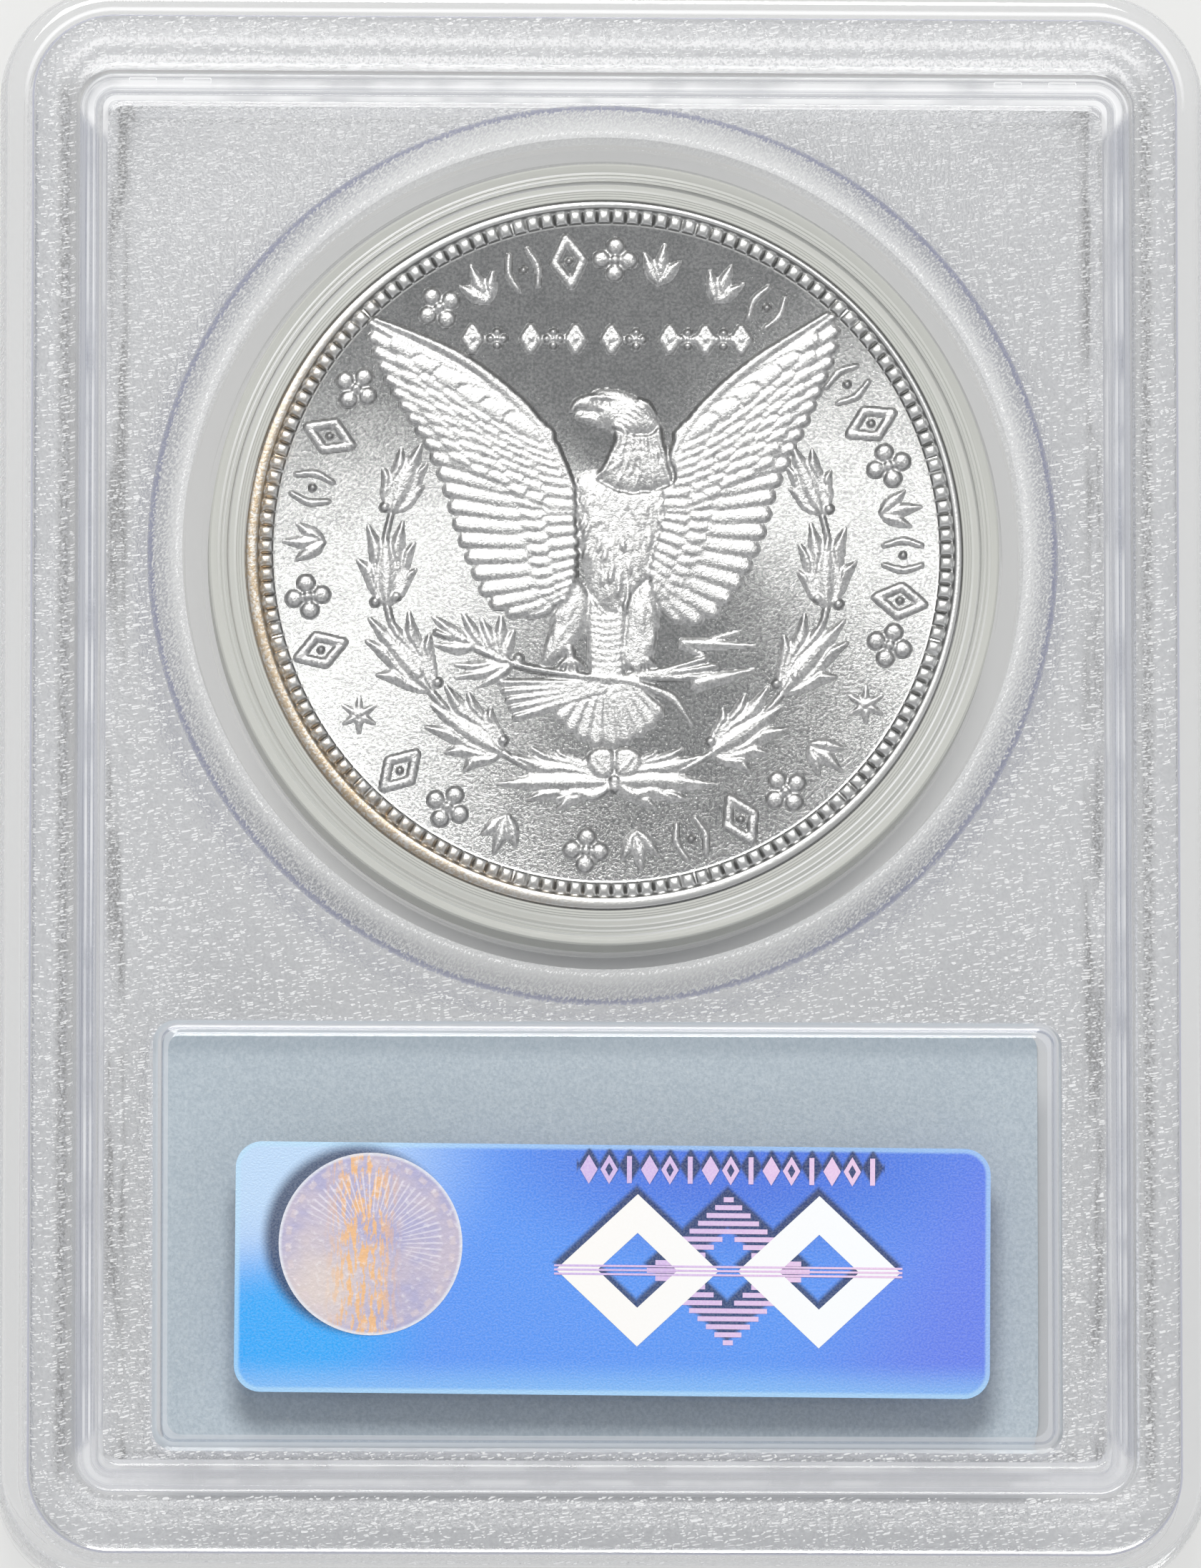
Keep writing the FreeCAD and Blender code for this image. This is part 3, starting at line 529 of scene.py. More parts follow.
def medallion_foil():
    """Lilac silver with gold streaks, a fan of fine dotted rays and a ring of dots."""
    tree = Tree("medallion_foil")
    right, upward = sticker_place(tree)
    across = right - MEDALLION[0]
    along = upward - MEDALLION[1]
    radius = tree.radius(across, along)
    angle = tree.math("ARCTAN2", along, across)
    cloud = tree.noise(tree.join(across, along), 0.35, 3.0, 0.6)
    streak = tree.noise(tree.join(across * 4.2, along * 0.8, 3.0), 1.0, 3.0, 0.65)
    fleck = tree.noise(tree.join(across, along, 7.0), 3.4, 2.0, 0.6)
    warm = tree.fade(tree.radius(across, along, (-2.6, -2.2)), 0.5, 4.0, 0.7)
    gold = tree.fade(abs(across + 0.4), 0.6, 2.3) * tree.ramp(streak, 0.47, 0.55) * 0.85
    rays = tree.ramp(tree.math("SINE", angle * 64.0), 0.3, 0.9)
    fan = tree.ramp(radius, 1.4, 2.0) * tree.fade(radius, 3.7, 3.9)
    upper = tree.ramp(along + across * 0.4, -0.6, 0.8)
    ring = tree.fade(abs(radius - 4.35), 0.08, 0.2)
    dots = ring * tree.ramp(tree.math("SINE", angle * 30.0), -0.2, 0.3)
    tone = tree.mix(tree.ramp(cloud, 0.35, 0.65), (0.42, 0.41, 0.62), (0.56, 0.50, 0.60))
    for share, other in (
        (warm, (0.80, 0.68, 0.58)),
        (gold, (0.88, 0.50, 0.20)),
        (rays * fan * (upper * 0.5), (0.85, 0.82, 0.88)),
        (dots * 0.55, (0.70, 0.60, 0.62)),
        (tree.ramp(radius, 4.62, 4.80) * 0.8, (0.78, 0.80, 0.86)),
        (tree.ramp(fleck, 0.55, 0.75, 0.0, 0.35), (0.92, 0.90, 0.92)),
    ):
        tone = tree.mix(share, tone, other)
    return tree.surface(tree.principled(tone, Metallic=0.3, Roughness=0.4, Normal=tree.bump(fleck, 0.012)))


def printed_foil(name, first, second):
    """A pale print on foil that turns from one tone to another along the sticker."""
    tree = Tree(name)
    right, _ = sticker_place(tree)
    grain = tree.noise(tree.place, 9.0, 2.0, 0.6)
    tone = tree.mix(tree.ramp(right, -2.0, 14.0), first, second)
    tone = tree.mix(tree.ramp(grain, 0.3, 0.7, 0.0, 0.2), tone, WHITE)
    return tree.surface(tree.principled(tone, Metallic=0.05, Roughness=0.45))


def label_paper():
    """Blue-grey card with a fine speckle. The window's bevel shades its edge at the coin end."""
    tree = Tree("label_paper")
    fibre = tree.noise(tree.place, 6.0, 3.0, 0.7)
    flecks = tree.ramp(tree.noise(tree.place, 3.2), 0.66, 0.76)
    shade = tree.ramp(tree.y, LABEL_HIGH[1] - 1.35, LABEL_HIGH[1] - 0.45, 0.0, 0.36)
    tone = tree.mix(tree.ramp(fibre, 0.25, 0.75), (0.44, 0.52, 0.585), (0.61, 0.685, 0.74))
    tone = tree.mix(flecks * 0.35, tone, (0.72, 0.76, 0.78))
    tone = tree.mix(shade, tone, (0.27, 0.33, 0.39))
    return tree.surface(tree.principled(tone, Roughness=0.85, Normal=tree.bump(fibre, 0.03)))


def floor_paper():
    """The pale table under the slab."""
    tree = Tree("floor_paper")
    tone = tree.mix(tree.noise(tree.place, 0.02), (0.80, 0.80, 0.785), (0.84, 0.84, 0.83))
    return tree.surface(tree.principled(tone, Roughness=0.8))


# ---------------------------------------------------------------- meshes


CORNER_POINTS = 14
ROUND_POINTS = 192
SHARP = math.radians(32)


def rounded_outline(half_x, half_y, corner, centre=(0.0, 0.0)):
    """Points round a rectangle with round corners, anticlockwise, as an array of x, y."""
    corner = max(corner, 0.02)
    points = []
    for quarter, (side_x, side_y) in enumerate(((1, 1), (-1, 1), (-1, -1), (1, -1))):
        middle = (side_x * (half_x - corner), side_y * (half_y - corner))
        for step in range(CORNER_POINTS):
            angle = (quarter + step / (CORNER_POINTS - 1)) * math.pi / 2
            points.append((middle[0] + corner * math.cos(angle), middle[1] + corner * math.sin(angle)))
    return np.array(points) + centre


def round_outline(radius, centre=(0.0, 0.0), count=ROUND_POINTS):
    angle = np.linspace(0, 2 * math.pi, count, endpoint=False)
    return np.stack([radius * np.cos(angle), radius * np.sin(angle)], axis=1) + centre


def ease_corners(section, steps=5):
    """Rounds a section's corners. Each row is a size, a height and the length of the rounding there."""
    rows = [(np.array(size + (height,)), ease) for size, height, ease in section]
    eased = [rows[0][0]]
    for (before, _), (here, ease), (after, _) in zip(rows, rows[1:], rows[2:]):
        if ease == 0:
            eased.append(here)
            continue
        into = here + (before - here) * min(0.5, ease / np.linalg.norm((before - here)[[0, -1]]))
        out = here + (after - here) * min(0.5, ease / np.linalg.norm((after - here)[[0, -1]]))
        for step in range(steps + 1):
            t = step / steps
            eased.append((1 - t) ** 2 * into + 2 * t * (1 - t) * here + t * t * out)
    eased.append(rows[-1][0])
    return eased


class Skin:
    """A mesh built from closed loops of points, joined by bands and closed by flat plates."""

    def __init__(self):
        self.points = []
        self.faces = []
        self.finishes = []

    def loop(self, outline, height):
        start = len(self.points)
        self.points.extend((x, y, height) for x, y in outline)
        return list(range(start, len(self.points)))

    def band(self, first, second, finish=0):
        count = len(first)
        for index in range(count):
            following = (index + 1) % count
            self.faces.append((first[index], first[following], second[following], second[index]))
            self.finishes.append(finish)

    def bands(self, loops, finishes):
        for first, second, finish in zip(loops, loops[1:], finishes):
            self.band(first, second, finish)

    def plate(self, edge, holes=(), finish=0):
        """A flat plate inside one loop, with other loops cut out of it."""
        rings = [edge, *holes]
        flat = [[Vector((*self.points[i][:2], 0)) for i in ring] for ring in rings]
        order = [i for ring in rings for i in ring]
        for corners in tessellate_polygon(flat):
            self.faces.append(tuple(order[i] for i in corners))
            self.finishes.append(finish)

    def piece(self, name, materials, node, slot):
        make_piece(name, self.points, self.faces, materials, node, self.finishes)


def turn_outwards(mesh):
    """Joins points that coincide and turns every face outwards."""
    work = bmesh.new()
    work.from_mesh(mesh)
    bmesh.ops.remove_doubles(work, verts=work.verts, dist=0.0005 * MM)
    bmesh.ops.recalc_face_normals(work, faces=work.faces)
    work.to_mesh(mesh)
    work.free()


def make_piece(name, points, faces, materials, node, finishes=(), struck=False):
    """Makes a piece from points in millimetres, in a CAD node's place. A struck one is smooth all over."""
    mesh = bpy.data.meshes.new(name)
    mesh.from_pydata((np.array(points) * MM).tolist(), [], faces)
    for material in materials:
        mesh.materials.append(material)
    if finishes:
        mesh.polygons.foreach_set("material_index", finishes)
    if not struck:
        turn_outwards(mesh)
    mesh.polygons.foreach_set("use_smooth", [True] * len(mesh.polygons))
    if not struck:
        mesh.set_sharp_from_angle(angle=SHARP)
    mesh.update()
    piece = bpy.data.objects.new(name, mesh)
    bpy.context.scene.collection.objects.link(piece)
    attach(piece, "root")
    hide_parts(node)


# ---------------------------------------------------------------- the two clear shells


POLISHED, FROSTED, DRAWN, BEVEL, RIDGED, FLANGED, LIP = range(7)


def section_loops(skin, section, centre=(0.0, 0.0), outside=None):
    """The loops of a section of rounded rectangles, with their rows. Rows wider than outside stay central."""
    rows = ease_corners(section)
    loops = []
    for row in rows:
        central = outside is not None and row[0] > outside
        loops.append(skin.loop(rounded_outline(*row[:3], (0.0, 0.0) if central else centre), row[3]))
    return loops, rows


def bevelled_windows(skin, foot, top):
    """The round window and the label window, each behind a rounded bevel. Returns the loops at their feet."""
    rise = top - foot
    rows = []
    for step in range(9):
        t = step / 8
        rows.append((ROUND_WINDOW_RADIUS - ROUND_BEVEL * t, foot + rise * math.sin(t * math.pi / 2)))
    rounds = [skin.loop(round_outline(radius, ROUND_WINDOW), height) for radius, height in rows]
    skin.bands(rounds, [BEVEL] * len(rounds))
    skin.plate(rounds[-1])
    half_x, half_y = LABEL_WINDOW_HALF
    inset = LABEL_BEVEL
    label, _ = section_loops(
        skin,
        [
            ((half_x, half_y, 1.2), foot, 0),
            ((half_x - 0.25 * inset, half_y - 0.25 * inset, 1.1), foot + 0.7 * rise, 0.15),
            ((half_x - 0.7 * inset, half_y - 0.7 * inset, 0.9), foot + 0.85 * rise, 0.15),
            ((half_x - inset, half_y - inset, 0.8), top, 0),
        ],
        LABEL_WINDOW,
    )
    skin.bands(label, [LIP] * len(label))
    skin.plate(label[-1])
    return rounds[0], label[0]


def rib_feet(skin, base, rib_end, pocket_end, ledge_end=None):
    """The round rib and the wall of the label pocket, standing on an inner face. Returns their outer feet."""
    heights = (base, rib_end)
    outer = [skin.loop(round_outline(RIB_RADIUS + RIB_WALL, ROUND_WINDOW), h) for h in heights]
    inner = [skin.loop(round_outline(RIB_RADIUS, ROUND_WINDOW), h) for h in reversed(heights)]
    skin.bands(outer + inner, [POLISHED] * 3)
    skin.plate(inner[-1])
    half_x, half_y = LABEL_POCKET_HALF
    wide = (half_x + POCKET_WALL, half_y + POCKET_WALL, 0.6 + POCKET_WALL)
    close = (half_x, half_y, 0.6)
    rows = [(wide, base), (wide, pocket_end), (close, pocket_end)]
    if ledge_end is None:
        rows.append((close, base))
    else:
        lip = (half_x - 0.9, half_y - 0.9, 0.6)
        rows += [(close, ledge_end), (lip, ledge_end), (lip, base)]
    pocket = [skin.loop(rounded_outline(*size, LABEL_WINDOW), height) for size, height in rows]
    skin.bands(pocket, [LIP] * len(pocket))
    skin.plate(pocket[-1])
    return outer[0], pocket[0]


def inner_faces(skin, edge, inside, finishes, *ends):
    """The steps of a shell's inner face, from its seam in, with the ribs and the pocket on the last one."""
    inner = [skin.loop(rounded_outline(*size), height) for size, height in inside]
    skin.band(edge, inner[0])
    skin.bands(inner, finishes)
    skin.plate(inner[-1], rib_feet(skin, inside[-1][1], *ends))


def grown(size, amount):
    return tuple(value + amount for value in size)


def make_rear_shell(materials):
    """Flange, crowned ridge, smooth step over the weld, frosted field, windows, weld groove and ribs."""
    skin = Skin()
    crown = grown(RIDGE, -1.2)
    section = [
        (grown(SLAB, -0.15), PARTING, 0),
        (SLAB, PARTING + 0.15, 0.05),
        (SLAB, FLANGE_HEIGHT, 1.2),
        (RIDGE, FLANGE_HEIGHT, 0.12),
        (grown(RIDGE, -0.08), SLAB_HIGH[2] - 0.28, 0.3),
        (crown, SLAB_HIGH[2], 0.9),
        (grown(STEP, 0.35), SLAB_HIGH[2] - 0.18, 0.25),
        (STEP, STEP_HEIGHT, 0.16),
        (grown(FIELD, 0.25), STEP_HEIGHT, 0.12),
        (FIELD, FIELD_HEIGHT, 0),
    ]
    loops, rows = section_loops(skin, section, MOULDED, HALF_WIDTH - 0.6)
    finishes = []
    for row, following in zip(rows, rows[1:]):
        reach = (row[0] + following[0]) / 2
        height = (row[3] + following[3]) / 2
        textured = STEP[0] + 0.2 < reach < RIDGE[0] - 0.05 and height > FLANGE_HEIGHT + 0.5
        inside = reach < STEP[0] + 0.2
        finishes.append(RIDGED if textured else DRAWN if inside else FLANGED)
    skin.bands(loops, finishes)
    skin.plate(loops[-1], bevelled_windows(skin, FIELD_HEIGHT, WINDOW_HEIGHT), FROSTED)

    inside = [
        (CAVITY, PARTING),
        (CAVITY, CHANNEL),
        (GROOVE_WALL, CHANNEL),
        (GROOVE_WALL, PARTING),
        (GROOVE, PARTING),
        (GROOVE, REAR_INSIDE),
        (GROOVE_INSIDE, REAR_INSIDE),
        (GROOVE_INSIDE, PARTING),
        (GROOVE_INSIDE_WALL, PARTING),
        (GROOVE_INSIDE_WALL, REAR_INSIDE),
    ]
    finishes = [FROSTED, POLISHED] + [DRAWN] * 7
    inner_faces(skin, loops[0], inside, finishes, PARTING + SEAM, LABEL_HIGH[2] + 0.1)
    skin.piece("rear_shell_clear", materials, "rear_shell", "clear_plastic")


def make_front_shell(materials):
    """Rim, frosted recess, windows, weld tongue and ribs."""
    skin = Skin()
    seam = PARTING - SEAM
    section = [
        (grown(SLAB, -0.15), seam, 0),
        (SLAB, PARTING - 0.15, 0.05),
        (SLAB, 0.0, 0.5),
        (RECESS, 0.0, 0.3),
        (grown(RECESS, -0.05), FRONT_RECESS, 0),
    ]
    loops, _ = section_loops(skin, section)
    skin.bands(loops, [POLISHED] * len(loops))
    windows = bevelled_windows(skin, FRONT_RECESS, FRONT_WINDOW_HEIGHT)
    skin.plate(loops[-1], windows, FROSTED)
    inside = [
        (CAVITY, seam),
        (CAVITY, FRONT_INSIDE),
        (TONGUE, FRONT_INSIDE),
        (TONGUE, REAR_INSIDE - SEAM),
        (TONGUE_INSIDE, REAR_INSIDE - SEAM),
        (TONGUE_INSIDE, FRONT_INSIDE),
    ]
    finishes = [FROSTED, POLISHED] + [DRAWN] * 3
    inner_faces(skin, loops[0], inside, finishes, PARTING - 0.1, LABEL_HIGH[2], LABEL_LOW[2])
    skin.piece("front_shell_clear", materials, "front_shell", "clear_plastic")


# ---------------------------------------------------------------- the coin


RELIEF_STEP = 0.07
BEADS = 150
REEDS = 189
RIM_POINTS = REEDS * 8


def smooth_path(points, count=22, closed=False):
    """A smooth line through a few points, as evenly spread points."""
    points = np.array(points, float)
    if closed:
        ring = np.vstack([points[-1:], points, points[:2]])
    else:
        ring = np.vstack([2 * points[0] - points[1], points, 2 * points[-1] - points[-2]])
    spans = len(ring) - 3
    along = np.linspace(0, spans, count, endpoint=not closed)
    span = np.minimum(along.astype(int), spans - 1)
    t = (along - span)[:, None]
    a, b, c, d = (ring[span + k] for k in range(4))
    return 0.5 * (2 * b + (c - a) * t + (2 * a - 5 * b + 4 * c - d) * t**2 + (3 * b - 3 * c + d - a) * t**3)


def even_path(points, count=200):
    """A smooth line through a few points, by its length, as a function of 0 to 1."""
    fine = smooth_path(points, count)
    length = np.concatenate([[0], np.cumsum(np.linalg.norm(np.diff(fine, axis=0), axis=1))])
    length /= length[-1]
    return lambda t: np.array([np.interp(t, length, fine[:, k]) for k in (0, 1)])


def heading(degrees, length=1.0):
    return np.array([math.cos(math.radians(degrees)), math.sin(math.radians(degrees))]) * length


class Relief:
    """A struck surface: heights in millimetres above the coin's field, on a fine grid about its middle."""

    def __init__(self, low, high, step=RELIEF_STEP):
        across = np.arange(low[0], high[0] + step, step)
        along = np.arange(low[1], high[1] + step, step)
        self.x, self.y = np.meshgrid(across, along)
        self.height = np.zeros_like(self.x)

    def window(self, points, reach):
        low = points.min(0) - reach
        high = points.max(0) + reach
        columns = np.searchsorted(self.x[0], (low[0], high[0]))
        rows = np.searchsorted(self.y[:, 0], (low[1], high[1]))
        return slice(*rows), slice(*columns)

    def level(self, place):
        row = int(np.searchsorted(self.y[:, 0], place[1]))
        column = int(np.searchsorted(self.x[0], place[0]))
        return self.height[row, column]

    def stroke(self, path, widths, heights, crown, lean=0.0, roof=False, over=True):
        """Lays a ridge along a path. Widths are half widths and heights those of its foot, end to end."""
        widths = np.atleast_1d(widths)
        heights = np.atleast_1d(heights)
        points = smooth_path(path)
        place = self.window(points, max(widths))
        x, y = self.x[place], self.y[place]
        if x.size == 0:
            return
        step = np.diff(points, axis=0)
        to_x = x[..., None] - points[:-1, 0]
        to_y = y[..., None] - points[:-1, 1]
        share = (to_x * step[:, 0] + to_y * step[:, 1]) / np.maximum((step**2).sum(1), 1e-9)
        share = np.clip(share, 0, 1)
        off_x = to_x - share * step[:, 0]
        off_y = to_y - share * step[:, 1]
        distance = np.hypot(off_x, off_y)
        nearest = distance.argmin(-1)[..., None]

        def pick(values):
            return np.take_along_axis(values, nearest, -1)[..., 0]

        turn = step[:, 0] * off_y - step[:, 1] * off_x
        side = np.sign(pick(turn))
        t = (nearest[..., 0] + pick(share)) / len(step)
        width = np.interp(t, np.linspace(0, 1, len(widths)), widths)
        u = pick(distance) / np.maximum(width, 1e-6)
        shape = 1 - u if roof else np.sqrt(np.clip(1 - u * u, 0, 1))
        foot = np.interp(t, np.linspace(0, 1, len(heights)), heights)
        made = foot + crown * shape * (1 + lean * side * u)
        here = self.height[place]
        inside = (u < 1) & (over | (made > here))
        here[inside] = made[inside]

    def mound(self, outline, height, edge, over=False):
        """Raises a pillow inside a closed smooth outline, at its full height edge mm from the outline."""
        points = smooth_path(outline, 12 * len(outline), closed=True)
        place = self.window(points, 0.1)
        x, y = self.x[place], self.y[place]
        inside = np.zeros(x.shape, bool)
        distance = np.full(x.shape, 1e9)
        for (x1, y1), (x2, y2) in zip(points, np.roll(points, -1, axis=0)):
            crosses = (y1 > y) != (y2 > y)
            inside ^= crosses & (x < (x2 - x1) * (y - y1) / ((y2 - y1) or 1e-9) + x1)
            step = np.array([x2 - x1, y2 - y1])
            share = np.clip(((x - x1) * step[0] + (y - y1) * step[1]) / max(step @ step, 1e-9), 0, 1)
            distance = np.minimum(distance, np.hypot(x - x1 - share * step[0], y - y1 - share * step[1]))
        t = 1 - np.clip(distance / edge, 0, 1)
        made = height * np.sqrt(1 - t * t)
        here = self.height[place]
        change = inside & (over | (made > here))
        here[change] = made[change]

    def soften(self):
        for axis in (0, 1):
            before = np.roll(self.height, 1, axis)
            after = np.roll(self.height, -1, axis)
            self.height = (before + 2 * self.height + after) / 4

    def piece(self, name, material, side=1):
        """Makes the softened relief a closed piece whose foot is sunk a little below the field."""
        self.soften()
        tall = self.height > 0.004
        cells = tall[:-1, :-1] | tall[1:, :-1] | tall[:-1, 1:] | tall[1:, 1:]
        rows, columns = np.nonzero(cells)
        wide = self.x.shape[1]
        corner = rows * wide + columns
        quads = np.stack([corner, corner + 1, corner + wide + 1, corner + wide], axis=1)
        used, flat = np.unique(quads, return_inverse=True)
        quads = flat.reshape(quads.shape)
        top = np.stack([self.x.ravel()[used], self.y.ravel()[used], self.height.ravel()[used]], axis=1)
        top[:, 2] = np.where(top[:, 2] > 0.002, top[:, 2], -0.015)
        foot = top.copy()
        foot[:, 2] = -0.04
        count = len(used)
        edges = np.concatenate([quads[:, [k, (k + 1) % 4]] for k in range(4)])
        keys = edges[:, 0] * count + edges[:, 1]
        open_edges = edges[~np.isin(keys, edges[:, 1] * count + edges[:, 0])]
        walls = np.stack(
            [open_edges[:, 1], open_edges[:, 0], open_edges[:, 0] + count, open_edges[:, 1] + count], axis=1
        )
        faces = np.concatenate([quads, quads[:, ::-1] + count, walls])
        points = np.concatenate([top, foot])
        points[:, 2] *= side
        if side < 0:
            points[:, 0] *= -1
        points += (COIN_MIDDLE[0], COIN_MIDDLE[1], COIN_MIDDLE[2] + side * FIELD_LEVEL)
        make_piece(name, points, faces.tolist(), [material], "coin", struck=True)


def turned(name, rows, count, middle, material, node, closed_ring=False):
    """A piece turned from rows of radii and heights. Its ends close on the axis or on each other."""
    radii, heights = (np.array([row[k] + np.zeros(count) for row in rows]) for k in (0, 1))
    angle = np.linspace(0, 2 * math.pi, count, endpoint=False)
    points = np.stack([radii * np.cos(angle), radii * np.sin(angle), heights], axis=-1).reshape(-1, 3)
    spin = np.arange(count)
    spin_on = (spin + 1) % count
    faces = []
    for row in range(len(rows) if closed_ring else len(rows) - 1):
        low = row * count
        high = (row + 1) % len(rows) * count
        faces += np.stack([low + spin, low + spin_on, high + spin_on, high + spin], axis=1).tolist()
    for row in () if closed_ring else (0, len(rows) - 1):
        axis = len(points)
        points = np.vstack([points, [0, 0, heights[row, 0]]])
        faces += [(row * count + a, row * count + b, axis) for a, b in zip(spin.tolist(), spin_on.tolist())]
    points = points + (middle[0], middle[1], 0)
    make_piece(name, points, faces, [material], node)


def make_blank(material):
    """The coin without its design: fields, a ring of beads, rims and a reeded edge."""
    angle = np.linspace(0, 2 * math.pi, RIM_POINTS, endpoint=False)
    shift = STRIKE[0] * np.cos(angle) + STRIKE[1] * np.sin(angle)
    bead = (angle * BEADS / (2 * math.pi)) % 1 * 2 - 1
    across = np.sqrt(np.clip(1 - (np.abs(bead) / 0.93) ** 2.6, 0, 1))
    reed = 0.5 + 0.5 * np.cos(angle * REEDS)
    face = [(BEAD_INNER - 0.12 + shift, FIELD_LEVEL)]
    for t in np.linspace(0, 1, 12):
        along = math.sqrt(max(0.0, 1 - abs(2 * t - 1) ** 2.4))
        radius = BEAD_INNER + (BEAD_OUTER - BEAD_INNER) * t + shift
        bank = max(0.0, (t - 0.72) / 0.28) ** 1.5 * 0.16
        face.append((radius, FIELD_LEVEL + 0.015 + np.maximum(0.22 * across * along, bank)))
    for reach, drop in ((0.04, 0.06), (0.10, 0.015), (0.16, 0.0)):
        face.append((BEAD_OUTER + reach + shift, COIN_HALF - drop))
    for reach, drop in ((0.12, 0.0), (0.05, 0.03), (0.015, 0.08)):
        face.append((COIN_RADIUS - reach, COIN_HALF - drop))
    edge = []
    for level, depth in ((0.82, 0.3), (0.76, 1.0), (0.0, 1.0), (-0.76, 1.0), (-0.82, 0.3)):
        edge.append((COIN_RADIUS - 0.075 * depth * reed, level * COIN_HALF / 0.9))
    back = [(radius, -height) for radius, height in reversed(face)]
    rows = [(radius, height + COIN_MIDDLE[2]) for radius, height in face + edge + back]
    turned("coin_blank", rows, RIM_POINTS, COIN_MIDDLE, material, "coin")


def leaf(relief, root, tip, half_width, bend=0.0, lift=0.14):
    """A pointed leaf with a raised midrib and two slanting halves."""
    root, tip = np.array(root), np.array(tip)
    run = tip - root
    aside = np.array([-run[1], run[0]])
    middle = root + run * 0.5 + aside * bend
    path = [root, middle, tip]
    widths = [half_width * w for w in (0.25, 0.8, 1.0, 0.85, 0.5, 0.06)]
    relief.stroke(path, widths, [0.05, 0.06, 0.03], lift, lean=0.35, roof=True)
    relief.stroke([root, middle, root + run * 0.9], [0.05, 0.045, 0.03], [lift * 0.8, lift * 0.6], 0.06)


def berry(relief, place, radius=0.24):
    place = np.array(place)
    relief.stroke([place, place + 0.01], radius, 0.06, 0.15)


def spray(relief, root, leaves, half_width):
    """A tuft of leaves from one point of a branch. Each leaf has a heading and a length."""
    axis = np.mean([turn for turn, _ in leaves])
    for turn, length in sorted(leaves, key=lambda pair: -abs(pair[0] - axis)):
        tip = np.array(root) + heading(turn, length)
        leaf(relief, root, tip, half_width, bend=(turn - axis) * -0.0025)


# Each wing is drawn between its leading edge, from the root at the body up over the shoulder to the tip, and
# its trailing edge, from the root along the tips of the flight feathers to the same point.
LEFT_LEADING = [
    (-2.2, -2.5), (-1.6, -0.9), (-1.6, 1.6), (-1.8, 4.0), (-2.9, 6.1), (-4.1, 7.7), (-5.7, 9.2), (-8.4, 11.0),
    (-12.2, 12.6),
]
LEFT_TRAILING = [
    (-2.9, -3.0), (-4.9, -3.0), (-6.0, -2.2), (-6.7, -0.7), (-7.5, 1.3), (-8.1, 3.4), (-8.8, 5.2),
    (-9.8, 6.9), (-11.0, 8.8), (-11.8, 10.4), (-12.4, 12.4),
]
RIGHT_LEADING = [
    (2.7, -2.0), (2.6, -0.6), (3.2, 1.6), (3.3, 3.9), (4.1, 6.4), (5.4, 8.0), (6.9, 9.5), (8.7, 10.9),
    (11.9, 13.0),
]
RIGHT_TRAILING = [
    (2.9, -3.0), (4.7, -3.4), (5.9, -2.8), (6.9, -1.5), (7.7, 0.1), (8.3, 1.7), (8.8, 3.6), (9.6, 5.3),
    (10.6, 7.4), (11.4, 9.3), (12.0, 11.0), (12.2, 12.9),
]
# Where a feather's root lies along the leading edge, for its tip's place along the trailing edge.
TIP_SHARE = (0.0, 0.11, 0.26, 0.37, 0.49, 0.58, 0.69, 0.81, 0.90, 1.0)
ROOT_SHARE = (0.0, 0.05, 0.13, 0.20, 0.26, 0.30, 0.34, 0.39, 0.45, 0.56)
# Rows of feathers, from the flight feathers in: how many, the first and last tip, where each feather starts
# and ends between the two edges, and the heights of its foot.
FEATHER_ROWS = [
    (12, 0.05, 0.585, 0.30, 1.00, (0.13, 0.06)),
    (10, 0.63, 1.00, 0.30, 1.00, (0.13, 0.06)),
    (9, 0.60, 0.97, 0.26, 0.86, (0.14, 0.13)),
    (9, 0.57, 0.95, 0.20, 0.73, (0.15, 0.14)),
    (8, 0.56, 0.94, 0.15, 0.60, (0.16, 0.15)),
    (13, 0.03, 0.56, 0.10, 0.44, (0.17, 0.14)),
    (8, 0.52, 0.92, 0.10, 0.47, (0.18, 0.16)),
    (11, 0.02, 0.50, 0.02, 0.23, (0.19, 0.17)),
    (8, 0.50, 0.91, 0.05, 0.34, (0.19, 0.17)),
    (8, 0.48, 0.90, 0.02, 0.21, (0.20, 0.18)),
]


def draw_wing(relief, leading, trailing, mirror):
    """One raised wing, its feathers laid row over row like shingles."""
    front = even_path(leading)
    rear = even_path(trailing)
    outline = [front(t) for t in np.linspace(0, 1, 16)] + [rear(t) for t in np.linspace(1, 0, 16)]
    relief.mound(outline, 0.12, 0.5)
    for count, first, last, start, end, feet in FEATHER_ROWS:
        lean = mirror * (0.45 if end == 1 else 0.25)
        gap = (last - first) / (count - 1)
        for share in np.linspace(first, last, count):
            lines = []
            for at in (share - gap / 2, share, share + gap / 2):
                root = front(np.interp(at, TIP_SHARE, ROOT_SHARE))
                tip = rear(min(1.0, at))
                sag = np.array([0, -0.06]) * np.linalg.norm(tip - root)
                bow = (root + tip) / 2 + sag * (1 - share)
                lines.append([root + (bow - root) * 2 * start, bow, root + (tip - root) * end])
            near, far = (np.linalg.norm(lines[2][k] - lines[0][k]) / 2 for k in (0, 2))
            root, bow, tip = lines[1]
            middle = (root + tip) / 2
            through = middle + (bow - middle) * (end - start) * 0.8
            widths = [max(0.10, near * 1.05), max(0.14, far * 1.15), max(0.12, far * 0.85)]
            relief.stroke([root, through, tip], widths, feet, 0.10, lean=lean)
    bone = [front(t) for t in np.linspace(0.30, 1.0, 7)]
    relief.stroke(bone, [0.22, 0.30, 0.26, 0.14], [0.20, 0.18, 0.12], 0.08)


